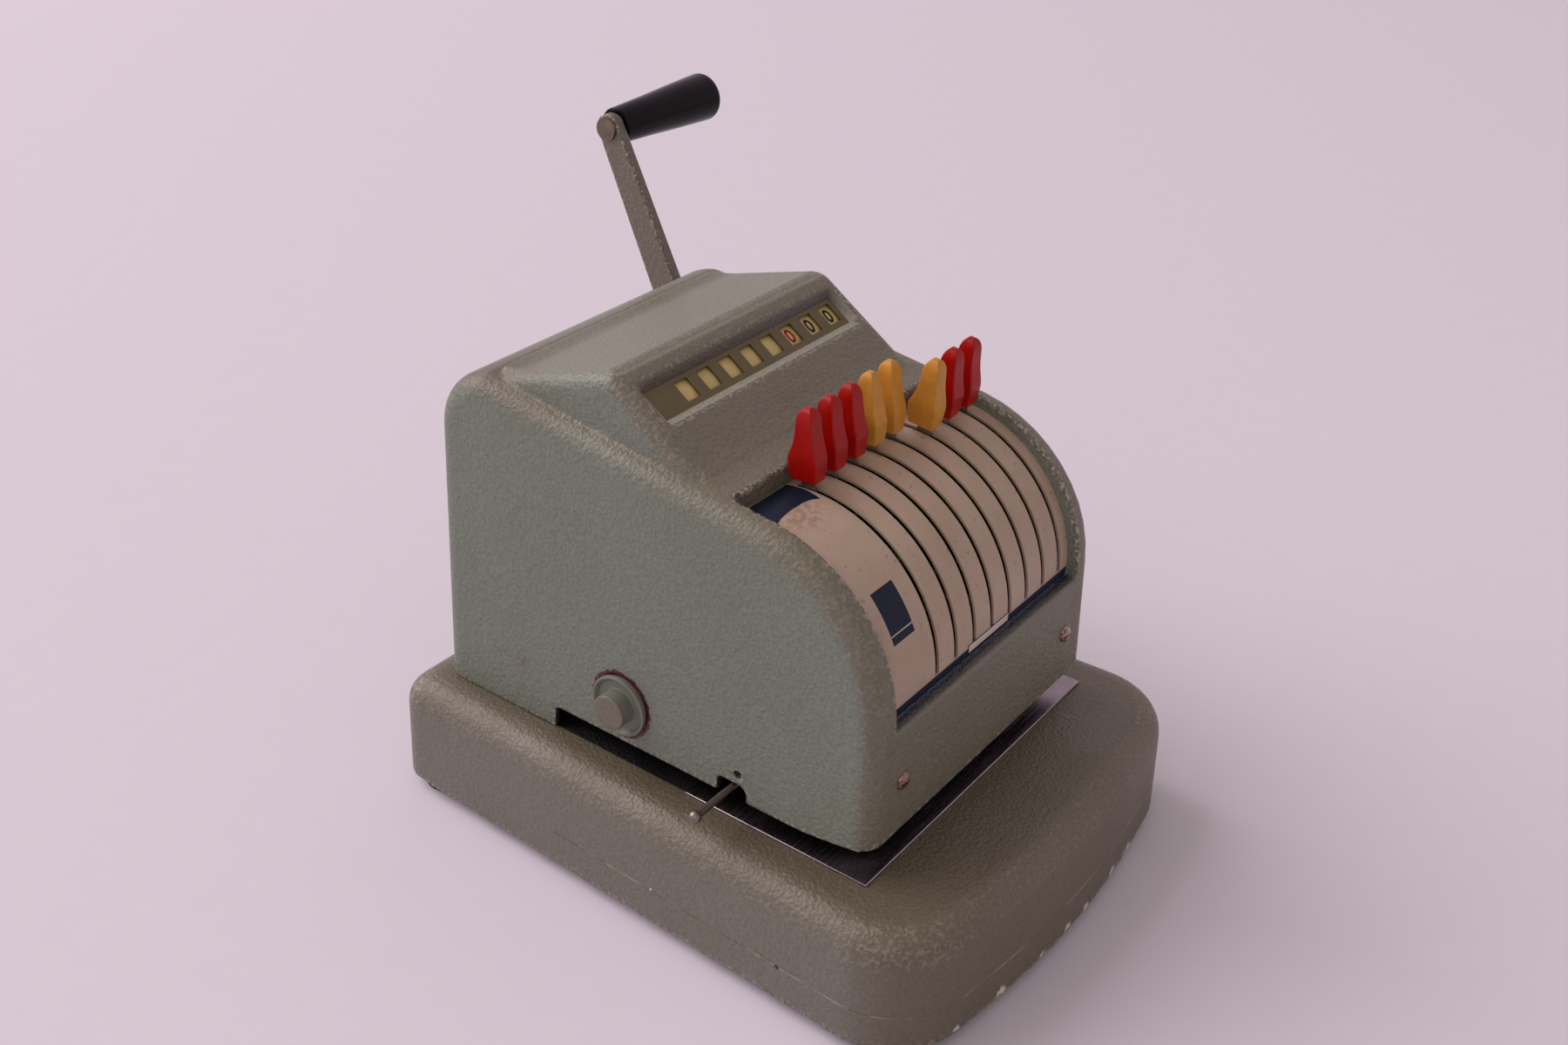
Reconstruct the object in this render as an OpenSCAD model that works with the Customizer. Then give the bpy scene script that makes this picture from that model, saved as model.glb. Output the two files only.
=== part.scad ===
// Desk check writer: eight amount levers, a number window, a check throat and a side handle.
// Millimetres. +Z is up, -Y is the operator's side, X = 0 is the middle of the body.
// The origin is on the desk, under the middle of the base.

/* [Base] */
// Length of the base, rear edge to the middle of the bowed front
base_len = 275; // [268:1:282]
// Half width of the base at its rear
base_half_rear = 96.8; // [94:0.5:101]
// Half width of the base near its front
base_half_front = 104.2; // [102:0.5:108]
// Height of the base casting without its feet
base_h = 49; // [46:0.5:52]
// Radius of the long soft edge round the top of the base
base_edge_r = 12; // [10:0.5:13]
// Wall of the base casting
base_wall = 4; // [3.5:0.5:4.5]
// How far the rubber feet stand out below the casting
foot_h = 5; // [4:0.5:6]

/* [Housing] */
// Width of the housing where it meets the base
body_w = 158.8; // [157:0.2:160]
// Lean of each housing side, in degrees
body_draft = 2.2; // [1.8:0.1:2.4]
// Wall of the housing
body_wall = 3; // [2.6:0.1:3.2]
// Radius of the housing's long edges
body_edge_r = 8; // [7:0.5:8.5]
// Radius of the round front of the housing
rim_r = 61.5; // [61.2:0.1:62]
// Rise of the deck toward the rear, in degrees
deck_slope = 7.5; // [7:0.1:8]
// Half width of the raised hood
hood_half = 67.5; // [66.5:0.5:68]
// Height of the throat that the check goes in
throat_h = 9.5; // [9.2:0.1:10]
// Depth of the throat, measured from the lever shaft to its rear end
throat_back = 88; // [86:1:89]

/* [Levers] */
// Distance from one lever to the next
lever_pitch = 12.7; // [12.7:0.1:12.8]
// Number of levers
lever_count = 8; // [8:1:8]
// Place of the first lever, from the middle of the body
lever_x0 = -31.6; // [-31.8:0.1:-31.4]
// Outer radius of the round scale plate
scale_r = 56.65; // [56.5:0.05:56.8]
// Lean of a lever in its blank notch, in degrees up from the front
blank_angle = 92; // [91:0.5:93]
// Positions of a lever: one blank and ten digits
notch_count = 11; // [11:1:11]
// Notches each lever stands forward of blank, as shown
shown_notch = [0, 0, 0, 0, 0, 1, 1, 1];

/* [Handle] */
// Length of the handle arm between its centres
arm_len = 150; // [145:1:155]
// Lean of the handle to the rear, in degrees
arm_lean = 25.3; // [15:0.1:35]
// Length of the black grip
grip_len = 63; // [50:1:75]

/* [Fits] */
// Radial clearance of a shaft in its hole
fit = 0.05; // [0.03:0.01:0.08]
// Side clearance between pieces that pass each other
pass_gap = 0.4; // [0.3:0.05:0.5]

/* [Hidden] */
$fn = 64;

// --- places, all measured from the lever shaft in the (y, z) plane ---
arc_up = 63;                 // lever shaft above the top of the base
arc_y = base_len / 2 - 166;  // lever shaft from the middle of the base
arc_z = foot_h + base_h + arc_up;
table_t = 1;
throat_top = -arc_up + throat_h;
table_front = 62.2;
table_back = 21.3;
rear_y = 151;                // rear face of the housing, at its foot
rear_r = 26;                 // round of the housing's rear top edge
front_y = 62.9;              // front face of the housing, at its foot
hood_peak = [66.3, 94.3];
hood_front_slope = 35;
hood_top_slope = 16.2;
hood_ridge_r = 10;
hood_edge_r = 6;
hood_draft = 3;
window_w = 119;
window_h = 18.6;
window_x = 1;
window_bevel = 2.4;
window_down = 17.8;          // window centre below the hood's ridge, along the slope
recess_half = 64.3;          // half width of the recess that holds the scale plate
recess_back = 11;
scale_t = 1;
ledge_t = 2.2;
slot_w = 2.6;
slot_low = 0.8;
slot_high = 97.5;
plate_low = -3.2;
plate_high = 101;
screw_x = 59;
screw_z = -27.4;
ink_at = [53.5, -36.3];
ink_r = 11.3;
pin_at = [-0.9, -48.9];
pin_pivot_x = -60;
pivot_at = [100, -88];       // pivot of the platen arm
impression_lift = 9;
feed_at = [63, -72.3];
feed_r = 10;
shaft_at = [134.6, -14.8];   // handle shaft
shaft_r = 7;
handle_swing = 70;
cam_r = 9;                   // cam radius at rest, under the shaft
cam_gap = 0.5;
cam_x = 14;
follower_r = 5;
left_frame_x = -44.75;
right_frame_x = 65.45;
frame_t = 2.5;
rod_places = [[104, 34], [88, -38], [126, 22]];
rod_r = 4;

// --- gear train of one lever: sector, idler and digit dial ---
notch = 360 / 44;            // one tooth of the sector, one digit of the dial
gear_m = 100 / 44;
sector_r = 50;
idler_teeth = 13;
dial_teeth = 11;
idler_gear_r = gear_m * idler_teeth / 2;
dial_gear_r = gear_m * dial_teeth / 2;
tooth_up = 0.62 * gear_m;
tooth_down = 0.95 * gear_m;
plate_t = 1.6;
lever_shaft_r = 5;
small_shaft_r = 3;
type_r = 52.3;
dial_r = 22.3;
dial_w = 9.8;
dial_dx = -6.1;              // middle of a dial from its lever's plate
cell_dx = -5.7;              // middle of an opening of the mask from the lever's plate
mask_t = 0.8;
mask_gap = 0.5;
window_at = hood_peak - window_down * [cos(hood_front_slope), sin(hood_front_slope)];
dial_at = window_at + 0.4 * [cos(hood_front_slope), sin(hood_front_slope)]
    + (body_wall + mask_t + mask_gap + dial_r) * [sin(hood_front_slope), -cos(hood_front_slope)];
gear_span = norm(dial_at);
dial_dir = atan2(dial_at[1], dial_at[0]);
mesh_1 = sector_r + idler_gear_r;
mesh_2 = idler_gear_r + dial_gear_r;
idler_dir = dial_dir - acos((gear_span ^ 2 + mesh_1 ^ 2 - mesh_2 ^ 2) / (2 * gear_span * mesh_1));
idler_at = mesh_1 * [cos(idler_dir), sin(idler_dir)];
to_dial = dial_at - idler_at;
to_dial_dir = atan2(to_dial[1], to_dial[0]);
idler_phase = idler_dir + 180 + 180 / idler_teeth;
idler_off = to_dial_dir - idler_phase;
dial_phase = to_dial_dir + 180 + idler_off * idler_teeth / dial_teeth + 180 / dial_teeth;

// --- outline helpers; a is an angle up from the front, seen from the left side ---
function at_angle(r, a) = [-r * cos(a), r * sin(a)];
function arc_pts(c, r, a0, a1, n) = [for (i = [0:n]) c + at_angle(r, a0 + (a1 - a0) * i / n)];
function lever_x(i) = lever_x0 + lever_pitch * i;
function polar(r, a) = [r * cos(a), r * sin(a)];

function tooth_pts(r, c, pitch) = [
    polar(r - tooth_down, c - 0.33 * pitch),
    polar(r + tooth_up, c - 0.13 * pitch),
    polar(r + tooth_up, c + 0.13 * pitch),
    polar(r - tooth_down, c + 0.33 * pitch)
];

function gear_pts(teeth, r, phase) = [
    for (i = [0:teeth - 1])
        for (p = tooth_pts(r, phase + i * 360 / teeth, 360 / teeth)) p
];

module at_arc() {
    translate([0, arc_y, arc_z]) children();
}

// a flat outline in (y, z) made w thick along X
module along_x(w) {
    rotate([90, 0, 90]) linear_extrude(w, center = true) children();
}

module rod(at, r, x0, x1) {
    translate([x0, at[0], at[1]]) rotate([0, 90, 0]) cylinder(h = x1 - x0, r = r);
}

module round_sector_2d(r0, r1, a0, a1) {
    far = r1 * 1.5;
    intersection() {
        difference() {
            circle(r1, $fn = 180);
            circle(r0, $fn = 180);
        }
        polygon(concat([[0, 0]], arc_pts([0, 0], far, a0, a1, 6)));
    }
}

// --- base ---
base_top = foot_h + base_h;
base_draft = 0.035;
base_corner_rear = 12;
base_corner_front = 34;
bow = 13.6;
edge_steps = 5;
plate_h = 1.2;

function base_front(x) = -base_len / 2 + bow * (x / base_half_front) ^ 2;

module base_layer(z, inset) {
    corner_f = base_corner_front - inset;
    corner_r = base_corner_rear - inset * 0.6;
    half_f = base_half_front - inset - corner_f;
    half_r = base_half_rear - inset - corner_r;
    translate([0, 0, z]) {
        linear_extrude(0.01) {
            for (s = [-1, 1]) {
                translate([s * half_f, base_front(half_f) + inset + corner_f]) circle(corner_f, $fn = 48);
                translate([s * half_r, base_len / 2 - inset - corner_r]) circle(corner_r, $fn = 32);
            }
            polygon(concat(
                [for (i = [-5:5]) [half_f * i / 5, base_front(half_f * i / 5) + inset]],
                [[0, 0]]
            ));
        }
    }
}

module base_solid(inset, z0) {
    top = base_top - inset;
    r = base_edge_r;
    hull() {
        base_layer(z0, inset);
        for (k = [0:edge_steps]) {
            a = 90 * k / edge_steps;
            base_layer(
                top - r * (1 - sin(a)) - 0.01,
                inset + base_draft * (base_h - r) + r * (1 - cos(a)));
        }
    }
}

function pair(x, y) = [[-x, y], [x, y]];
feet_at = concat(
    pair(base_half_rear - 10.8, base_len / 2 - 16.5),
    pair(base_half_front - 13.2, 45.5 - base_len / 2));
post_at = concat(
    pair(base_half_rear - 42.8, base_len / 2 - 19.5),
    pair(base_half_rear - 12.8, arc_y - 1.5));
frame_screw_y = [98, 124];
body_screw_at = [body_w / 2 - 13.4, 141];

module base_casting() {
    color("#6f6d5f") difference() {
        union() {
            difference() {
                base_solid(0, foot_h);
                base_solid(base_wall, foot_h - 1);
            }
            for (p = post_at) translate([p[0], p[1], foot_h + plate_h]) cylinder(h = base_h - 5, r = 5);
            at_arc() for (x = [-64, 72]) pivot_lug(x, pivot_at, 8);
            at_arc() for (x = [-54, 66]) pivot_lug(x, feed_at, 6);
        }
        for (p = post_at) translate([p[0], p[1], foot_h + 1]) cylinder(h = 20, r = 1.6);
        at_arc() {
            translate([-43, -9, -arc_up - 6]) cube([107, 20, 8]);
            translate([-50, 51.5, -arc_up - 6]) cube([112, 23, 8]);
            translate([cam_x - 8, 116, -arc_up - 6]) cube([16, 31, 8]);
            for (y = frame_screw_y) for (x = [left_frame_x - 6, right_frame_x - 6])
                translate([x, y, -arc_up - 6]) cylinder(h = 8, r = 1.8);
            for (s = [-1, 1]) translate([s * body_screw_at[0], body_screw_at[1], -arc_up - 6])
                cylinder(h = 8, r = 1.8);
            rod(pivot_at, 3 + fit, -70, 80);
            rod(feed_at, 3 + fit, -60, 74);
        }
    }
}

// a lug that hangs from the top of the base and carries the end of a shaft
module pivot_lug(x, at, r) {
    translate([x, at[0], 0]) along_x(5) union() {
        translate([0, at[1]]) circle(r);
        translate([-r, at[1]]) square([2 * r, -arc_up - 3 - at[1]]);
    }
}

module bottom_plate() {
    color("#3a3a38") difference() {
        intersection() {
            base_solid(base_wall + 0.4, foot_h - 1);
            translate([-150, -150, foot_h]) cube([300, 300, plate_h]);
        }
        for (p = post_at) translate([p[0], p[1], foot_h - 1]) cylinder(h = 4, r = 1.9);
        for (p = feet_at) translate([p[0], p[1], foot_h - 1]) cylinder(h = 4, r = 2.1);
    }
}

module base_screws() {
    color("#9a9a98") {
        for (p = post_at) translate([p[0], p[1], 0]) {
            translate([0, 0, foot_h - 1.4]) cylinder(h = 1.4, r = 3.4);
            translate([0, 0, foot_h]) cylinder(h = 10, r = 1.55);
        }
        at_arc() {
            for (y = frame_screw_y) for (x = [left_frame_x - 6, right_frame_x - 6]) under_screw([x, y]);
            for (s = [-1, 1]) under_screw([s * body_screw_at[0], body_screw_at[1]]);
        }
    }
}

// a screw that goes up through the top of the base
module under_screw(p) {
    translate([p[0], p[1], -arc_up - base_wall]) {
        translate([0, 0, -2]) cylinder(h = 2, r = 3.4);
        translate([0, 0, -1]) cylinder(h = 12, r = 1.55);
    }
}

module rubber_feet() {
    color("#1c1c1c") for (p = feet_at) translate([p[0], p[1], 0]) rotate_extrude($fn = 48)
        polygon([[0, 0], [7, 0], [8.5, 1.2], [9, foot_h], [2, foot_h], [2, foot_h + plate_h + 0.1],
            [3.2, foot_h + plate_h + 0.1], [2, foot_h + plate_h + 2], [0, foot_h + plate_h + 2]]);
}

module check_table() {
    color("#b9bcc0") at_arc() difference() {
        translate([-body_w / 2, -table_front, -arc_up]) cube([body_w, table_front + table_back, table_t]);
        translate([-43, -9, -arc_up - 1]) cube([107, 20, 4]);
    }
}

// --- impression: arm hinged inside the base, pad under the check ---
press_angle = asin(impression_lift / pivot_at[0]);
follower_at = [shaft_at[0], shaft_at[1] - cam_r - cam_gap - follower_r];

module platen_arm() {
    color("#8b8d8e") at_arc() difference() {
        union() {
            translate([-40, -6, pivot_at[1] - 2]) cube([100, 98, 3]);
            translate([-38, -5, pivot_at[1]]) cube([94, 10, 18]);
            rod(pivot_at, 6, -61, 69);
            for (x = [-40, 60]) translate([x, 0, 0]) along_x(4)
                polygon([[92, -90], [92, -86], [98, -82.5], [98, -93.5]]);
            translate([cam_x, 0, 0]) along_x(9) union() {
                translate(follower_at) circle(follower_r);
                polygon([[96, -93], [104, -93], [139, -76], follower_at + [follower_r, 0],
                    follower_at - [follower_r, 0], [128, -68], [98, -83]]);
            }
        }
        rod(pivot_at, 3, -62, 70);
    }
    color("#8b8d8e") at_arc() rod(pivot_at, 3, -67, 75);
}

module platen_pad() {
    color("#2a2a2c") at_arc() translate([-36, -6, pivot_at[1] + 18]) cube([90, 12, 6.7]);
}

module feed_roller() {
    color("#242424") at_arc() difference() {
        rod(feed_at, feed_r, -46, 56);
        rod(feed_at, 3, -47, 57);
    }
    color("#a5a7a8") at_arc() rod(feed_at, 3, -58, 70);
}

// --- housing ---
rear_c = [149 - rear_r, (rim_r - rear_r + (149 - rear_r) * sin(deck_slope)) / cos(deck_slope)];

function body_profile(d) = concat(
    arc_pts([0, 0], rim_r - d, 0, 90 + deck_slope, 12),
    arc_pts(rear_c, rear_r - d, 90 + deck_slope, 178, 8),
    [[rear_y - d, -arc_up - 12], [-front_y + d, -arc_up - 12]]
);

n_front = [-sin(hood_front_slope), cos(hood_front_slope)];
n_top = [sin(hood_top_slope), cos(hood_top_slope)];
hood_turn = sin(hood_front_slope + hood_top_slope);
ridge_c = hood_peak + hood_ridge_r / hood_turn * [n_top[1] - n_front[1], n_front[0] - n_top[0]];

function hood_profile(d) = concat(
    [ridge_c + (hood_ridge_r - d) * n_front - 75 * [cos(hood_front_slope), sin(hood_front_slope)]],
    arc_pts(ridge_c, hood_ridge_r - d, 90 - hood_front_slope, 90 + hood_top_slope, 5),
    [ridge_c + (hood_ridge_r - d) * n_top + 62 * [cos(hood_top_slope), -sin(hood_top_slope)]],
    [[124, 40], [12, 40]]
);

// thin side slice of a shell: k counts the steps round its long edge
module edge_slice(half, r, draft, z0, k, s) {
    a = 90 * k / edge_steps;
    translate([s * (half - r * (1 - sin(a))), 0, z0]) rotate([0, -s * draft, 0]) translate([0, 0, -z0])
        along_x(0.01) children();
}

module body_solid(inset) {
    r = body_edge_r - inset;
    hull() for (s = [-1, 1]) for (k = [0:edge_steps]) {
        d = inset + r * (1 - cos(90 * k / edge_steps));
        edge_slice(body_w / 2 - inset, r, body_draft, -arc_up, k, s) polygon(body_profile(d));
    }
}

module hood_solid(inset) {
    r = hood_edge_r - inset;
    hull() for (s = [-1, 1]) for (k = [0:edge_steps]) {
        d = inset + r * (1 - cos(90 * k / edge_steps));
        edge_slice(hood_half - inset, r, hood_draft, 70, k, s) polygon(hood_profile(d));
    }
}

module at_window() {
    translate([window_x, window_at[0], window_at[1]]) rotate([hood_front_slope, 0, 0]) children();
}

module window_cut() {
    hull() {
        cube([window_w + 2 * window_bevel * 0.4, window_h + 2 * window_bevel * 0.4, 0.01], center = true);
        translate([0, 0, -body_wall])
            cube([window_w - 2 * window_bevel, window_h - 2 * window_bevel, 0.01], center = true);
    }
    translate([0, 0, -body_wall - 1])
        cube([window_w - 2 * window_bevel, window_h - 2 * window_bevel, 3], center = true);
}

module recess_cut() {
    along_x(2 * recess_half) difference() {
        polygon([[recess_back, 40], [recess_back, 80], [-80, 80], [-80, -5.6], [-50, -3.4]]);
        circle(scale_r - scale_t, $fn = 180);
    }
    along_x(2 * recess_half - 8) round_sector_2d(40, 60, 0, 98);
}

module housing() {
    color("#7f8a80") at_arc() difference() {
        union() {
            difference() {
                union() {
                    body_solid(0);
                    hood_solid(0);
                }
                body_solid(body_wall);
                hood_solid(body_wall);
            }
            along_x(2 * recess_half + 6)
                round_sector_2d(scale_r - scale_t - ledge_t, rim_r - 1.5, -6.5, 105);
            for (s = [-1, 1]) translate([s * body_screw_at[0], body_screw_at[1], -arc_up])
                cylinder(h = 22, r = 5.5);
            for (s = [-1, 1]) translate([s * (body_screw_at[0] + 6), body_screw_at[1], -arc_up + 11])
                cube([10, 11, 22], center = true);
        }
        translate([-100, -100, -arc_up - 40]) cube([200, 300, 40]);
        along_x(200) polygon([[throat_back, -arc_up - 40], [throat_back, throat_top], [-28, throat_top],
            [-36, throat_top + 0.4], [-44, throat_top + 1.4], [-52, throat_top + 2.8],
            [-58, throat_top + 3.7], [-70, throat_top + 4], [-70, -arc_up - 40]]);
        recess_cut();
        at_window() window_cut();
        for (s = [-1, 1]) translate([s * screw_x, -70, screw_z]) rotate([-90, 0, 0])
            cylinder(h = 12, r = 1.9);
        for (s = [-1, 1]) translate([s * body_screw_at[0], body_screw_at[1], -arc_up - 1])
            cylinder(h = 16, r = 1.6);
        rod(ink_at, 12.1, -90, -60);
        rod(shaft_at, 9.05, 60, 90);
        rod([-3.2, -42.1], 1.5, -90, -70);
        translate([-90, -7.3, throat_top - 1]) cube([20, 13.4, 4.3]);
        translate([-90, -3.3, throat_top - 1]) cube([20, 9.4, 7.9]);
        rod([-3.3, throat_top + 2.9], 4, -90, -70);
    }
}

function front_face(z) = -rim_r - (front_y - rim_r) * (-z) / (arc_up + 12);

module front_screws() {
    color("#b09a6a") at_arc() for (s = [-1, 1])
        translate([s * screw_x, front_face(screw_z) - 0.1, screw_z]) {
        difference() {
            rotate([90, 0, 0]) rotate_extrude($fn = 40)
                polygon([[0, 0], [3.6, 0], [3.3, 0.8], [2, 1.6], [0, 1.9]]);
            translate([-4, -2.2, -0.4]) cube([8, 1.2, 0.8]);
        }
        rotate([-90, 0, 0]) cylinder(h = 10.5, r = 1.75);
    }
}

module scale_plate() {
    color("#cfc3b2") at_arc() difference() {
        along_x(2 * recess_half - 0.2) round_sector_2d(scale_r - scale_t, scale_r, plate_low, plate_high);
        for (i = [0:lever_count - 1]) translate([lever_x(i), 0, 0])
            along_x(slot_w) round_sector_2d(scale_r - 5, scale_r + 5, slot_low, slot_high);
    }
}

module window_mask() {
    color("#6b6a45") at_arc() at_window() difference() {
        translate([0, 0, -body_wall - 0.1 - mask_t / 2])
            cube([window_w + 1, window_h + 1, mask_t], center = true);
        for (i = [0:lever_count - 1]) translate([lever_x(i) + cell_dx - window_x, 0.4, -body_wall])
            cube([7.2, 8.8, 4], center = true);
    }
}

// --- inner frame ---
frame_outline = [
    [-52.3, -32], [-30, -34], [20, -50], [88, -50], [88, -arc_up], [132, -arc_up], [132, -38],
    [146.4, -30], [146.4, 6], [112, 42], [82, 61], [73, 66.2], [62, 66.2], [36, 51],
    [10, 30], [-20, 22], [-26, 0], [-52.3, -21]
];

module frame_plate(x, ink_hole) {
    difference() {
        union() {
            translate([x, 0, 0]) along_x(frame_t) polygon(frame_outline);
            translate([x - 11.5, 91, -arc_up]) cube([11.5, 40, 3]);
        }
        rod([0, 0], lever_shaft_r, x - 3, x + 3);
        rod(idler_at, small_shaft_r, x - 3, x + 3);
        rod(dial_at, small_shaft_r, x - 3, x + 3);
        rod(shaft_at, shaft_r + fit, x - 3, x + 3);
        rod(ink_at, ink_hole, x - 3, x + 3);
        for (p = rod_places) rod(p, rod_r, x - 3, x + 3);
        for (y = frame_screw_y) translate([x - 6, y, -arc_up - 1]) cylinder(h = 6, r = 1.6);
    }
}

module frame_left() {
    color("#8f9294") at_arc() {
        frame_plate(left_frame_x, ink_r + 0.9);
        translate([pin_pivot_x - 5, pin_at[0] - 5, pin_at[1] + 4])
            cube([left_frame_x - pin_pivot_x + 4, 10, 2]);
        translate([pin_pivot_x, pin_at[0], pin_at[1] - 3.9]) cylinder(h = 8, r = 2);
    }
}

module frame_right() {
    color("#8f9294") at_arc() frame_plate(right_frame_x, small_shaft_r + fit);
}

frames_x = [left_frame_x - frame_t / 2, right_frame_x + frame_t / 2];

module tie_rods() {
    color("#9b9d9f") at_arc() for (p = rod_places) rod(p, rod_r, frames_x[0] - 2, frames_x[1] + 2);
}

module front_bar() {
    color("#8f9294") at_arc() difference() {
        translate([-screw_x - 6, -front_y + body_wall + 1, screw_z - 5])
            cube([2 * screw_x + 12, 6.5, 10]);
        for (s = [-1, 1]) translate([s * screw_x, -70, screw_z]) rotate([-90, 0, 0])
            cylinder(h = 30, r = 1.8);
    }
}

module lever_shaft() {
    color("#a9abad") at_arc() rod([0, 0], lever_shaft_r, frames_x[0] - 2, frames_x[1] + 2);
}

module dial_shafts() {
    color("#a9abad") at_arc() for (p = [idler_at, dial_at])
        rod(p, small_shaft_r, frames_x[0] - 1, frames_x[1] + 1);
}

// bar with one spring finger for each lever
comb_dir = 235;
comb_r = 58;
detent_r = 15;
finger_dx = 4.6;

module detent_comb() {
    color("#c2a35a") at_arc() {
        translate([(left_frame_x + right_frame_x) / 2, 0, 0])
            along_x(right_frame_x - left_frame_x - frame_t)
                translate(at_angle(comb_r, comb_dir))
                rotate(180 - comb_dir) square([5, 7], center = true);
        for (i = [0:lever_count - 1]) translate([lever_x(i) + finger_dx, 0, 0]) along_x(2)
            rotate(180 - comb_dir) translate([detent_r + 0.5, -0.5]) square([comb_r - detent_r - 2.6, 1]);
    }
}

// --- levers ---
stem_w = 6;
tang_r = 72;

module detent_ring_2d() {
    polygon([for (i = [0:43]) for (p = [
        polar(detent_r, (i + 0.2) * notch),
        polar(detent_r, (i + 0.8) * notch),
        polar(detent_r - 0.9, (i + 1) * notch)
    ]) p]);
}

module lever_plate_2d() {
    difference() {
        union() {
            circle(13);
            rotate(180 - blank_angle) translate([0, -stem_w / 2]) square([tang_r, stem_w]);
            round_sector_2d(
                sector_r - 10, sector_r - tooth_down + 0.2,
                180 - idler_dir - 6, 180 - idler_dir + 88);
            intersection() {
                union() for (i = [-1:11]) polygon(concat(
                    tooth_pts(sector_r, idler_dir - i * notch, notch),
                    [polar(sector_r - 6, idler_dir - i * notch)]));
                circle(sector_r + tooth_up);
            }
            round_sector_2d(sector_r - 10, 47, 264, 355);
            for (a = [idler_dir - 4, idler_dir - 78, -94, -168])
                rotate(a) translate([8, -3]) square([36, 6]);
        }
        circle(lever_shaft_r + fit);
    }
}

module lever(i) {
    color("#9d9fa1") at_arc() translate([lever_x(i), 0, 0]) rotate([shown_notch[i] * notch, 0, 0]) {
        along_x(plate_t) lever_plate_2d();
        along_x(6) round_sector_2d(44, 46.6, 265, 354.5);
        along_x(6) polygon(concat(
            [for (k = [0:10]) for (e = [-0.32, 0.32]) at_angle(type_r, 270 + (k + e) * notch)],
            [at_angle(46.5, 354), at_angle(46.5, 310), at_angle(46.5, 266)]
        ));
        difference() {
            union() {
                along_x(lever_pitch - pass_gap) circle(9);
                translate([finger_dx, 0, 0]) along_x(2.4) detent_ring_2d();
            }
            along_x(20) circle(lever_shaft_r + fit);
        }
    }
}

module knob(i) {
    paint = (i < 3 || i > 5) ? "#b01818" : "#d9a441";
    base_r = 60;
    color(paint) at_arc() translate([lever_x(i), 0, 0])
        rotate([shown_notch[i] * notch + 90 - blank_angle, 0, 0]) translate([0, 0, base_r]) difference() {
            hull() {
                translate([0, 0.85, 0.3]) cube([6.8, 10.9, 0.6], center = true);
                translate([0, 0.95, 8.5]) cube([8, 12.7, 1.5], center = true);
                translate([0, 0.4, 25]) rotate([0, 90, 0])
                    cylinder(h = 4.8, r = 3.3, center = true, $fn = 24);
                translate([0, 0.4, 24.6]) rotate([0, 90, 0])
                    cylinder(h = 6.6, r = 2.2, center = true, $fn = 24);
            }
            translate([-plate_t / 2 - 0.04, -stem_w / 2 - 0.04, -1])
                cube([plate_t + 0.08, stem_w + 0.08, tang_r - base_r + 1.1]);
        }
}

module idler(i) {
    color("#b3985a") at_arc() translate([lever_x(i), idler_at[0], idler_at[1]]) difference() {
        union() {
            along_x(plate_t) polygon(gear_pts(idler_teeth, idler_gear_r, idler_phase));
            along_x(lever_pitch - pass_gap) circle(4.6);
        }
        along_x(20) circle(small_shaft_r + fit);
    }
}

module dial(i) {
    hub_w = lever_pitch - pass_gap / 2;
    color("#e9e2cc") at_arc() translate([lever_x(i), dial_at[0], dial_at[1]]) difference() {
        union() {
            along_x(plate_t) polygon(gear_pts(dial_teeth, dial_gear_r, dial_phase));
            translate([dial_dx, 0, 0]) along_x(dial_w) circle(dial_r, $fn = 132);
            translate([dial_dx - dial_w / 2 + hub_w / 2, 0, 0]) along_x(hub_w) circle(5);
        }
        translate([dial_dx - dial_w / 2 - 1, 0, 0]) along_x(9) difference() {
            circle(dial_r - 2, $fn = 132);
            circle(7);
        }
        translate([dial_dx - 3, 0, 0]) along_x(lever_pitch * 3) circle(small_shaft_r + fit);
    }
}

// --- ink roller, drawn out to the left by its cap ---
module ink_roller() {
    color("#3a1024") at_arc() difference() {
        rod(ink_at, ink_r, -39, 62);
        rod(ink_at, small_shaft_r + fit, -40, 63);
    }
}

side_face_ink = -(body_w / 2 - (arc_up + ink_at[1]) * tan(body_draft));

module ink_roller_cap() {
    color("#7f8a80") at_arc() {
        rod(ink_at, 12.9, side_face_ink - 2.3, side_face_ink - 0.6);
        rod(ink_at, 12, side_face_ink - 1, side_face_ink + 8);
        rod(ink_at, 7.5, side_face_ink - 7.6, side_face_ink - 2);
        rod(ink_at, small_shaft_r, side_face_ink + 7, 66.5);
    }
}

module pin_lever() {
    color("#a7a49c") at_arc() {
        difference() {
            union() {
                translate([pin_pivot_x, pin_at[0], pin_at[1] - 3.4]) cylinder(h = 6.8, r = 4.5);
                rod(pin_at, 1.5, -99, pin_pivot_x - 3);
            }
            translate([pin_pivot_x, pin_at[0], pin_at[1] - 5]) cylinder(h = 10, r = 2 + fit);
        }
        translate([-100, pin_at[0], pin_at[1]]) rotate([0, 90, 0]) sphere(2.5);
    }
}

// --- handle ---
arm_x = [body_w / 2 + 2.6, body_w / 2 + 7.6];
arm_w = 18.8;
arm_tip_w = 12.6;
grip_at = shaft_at + arm_len * [sin(arm_lean), cos(arm_lean)];

// the cam follows the path of the follower while the handle turns by t
function turned(v, a) = [v[0] * cos(a) - v[1] * sin(a), v[0] * sin(a) + v[1] * cos(a)];
function follower_pt(t) = pivot_at + turned(follower_at - pivot_at, -press_angle * t / handle_swing);
function cam_pt(t) = let(v = follower_pt(t) - shaft_at)
    polar(norm(v) - follower_r - cam_gap, atan2(v[1], v[0]) - t);

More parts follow.
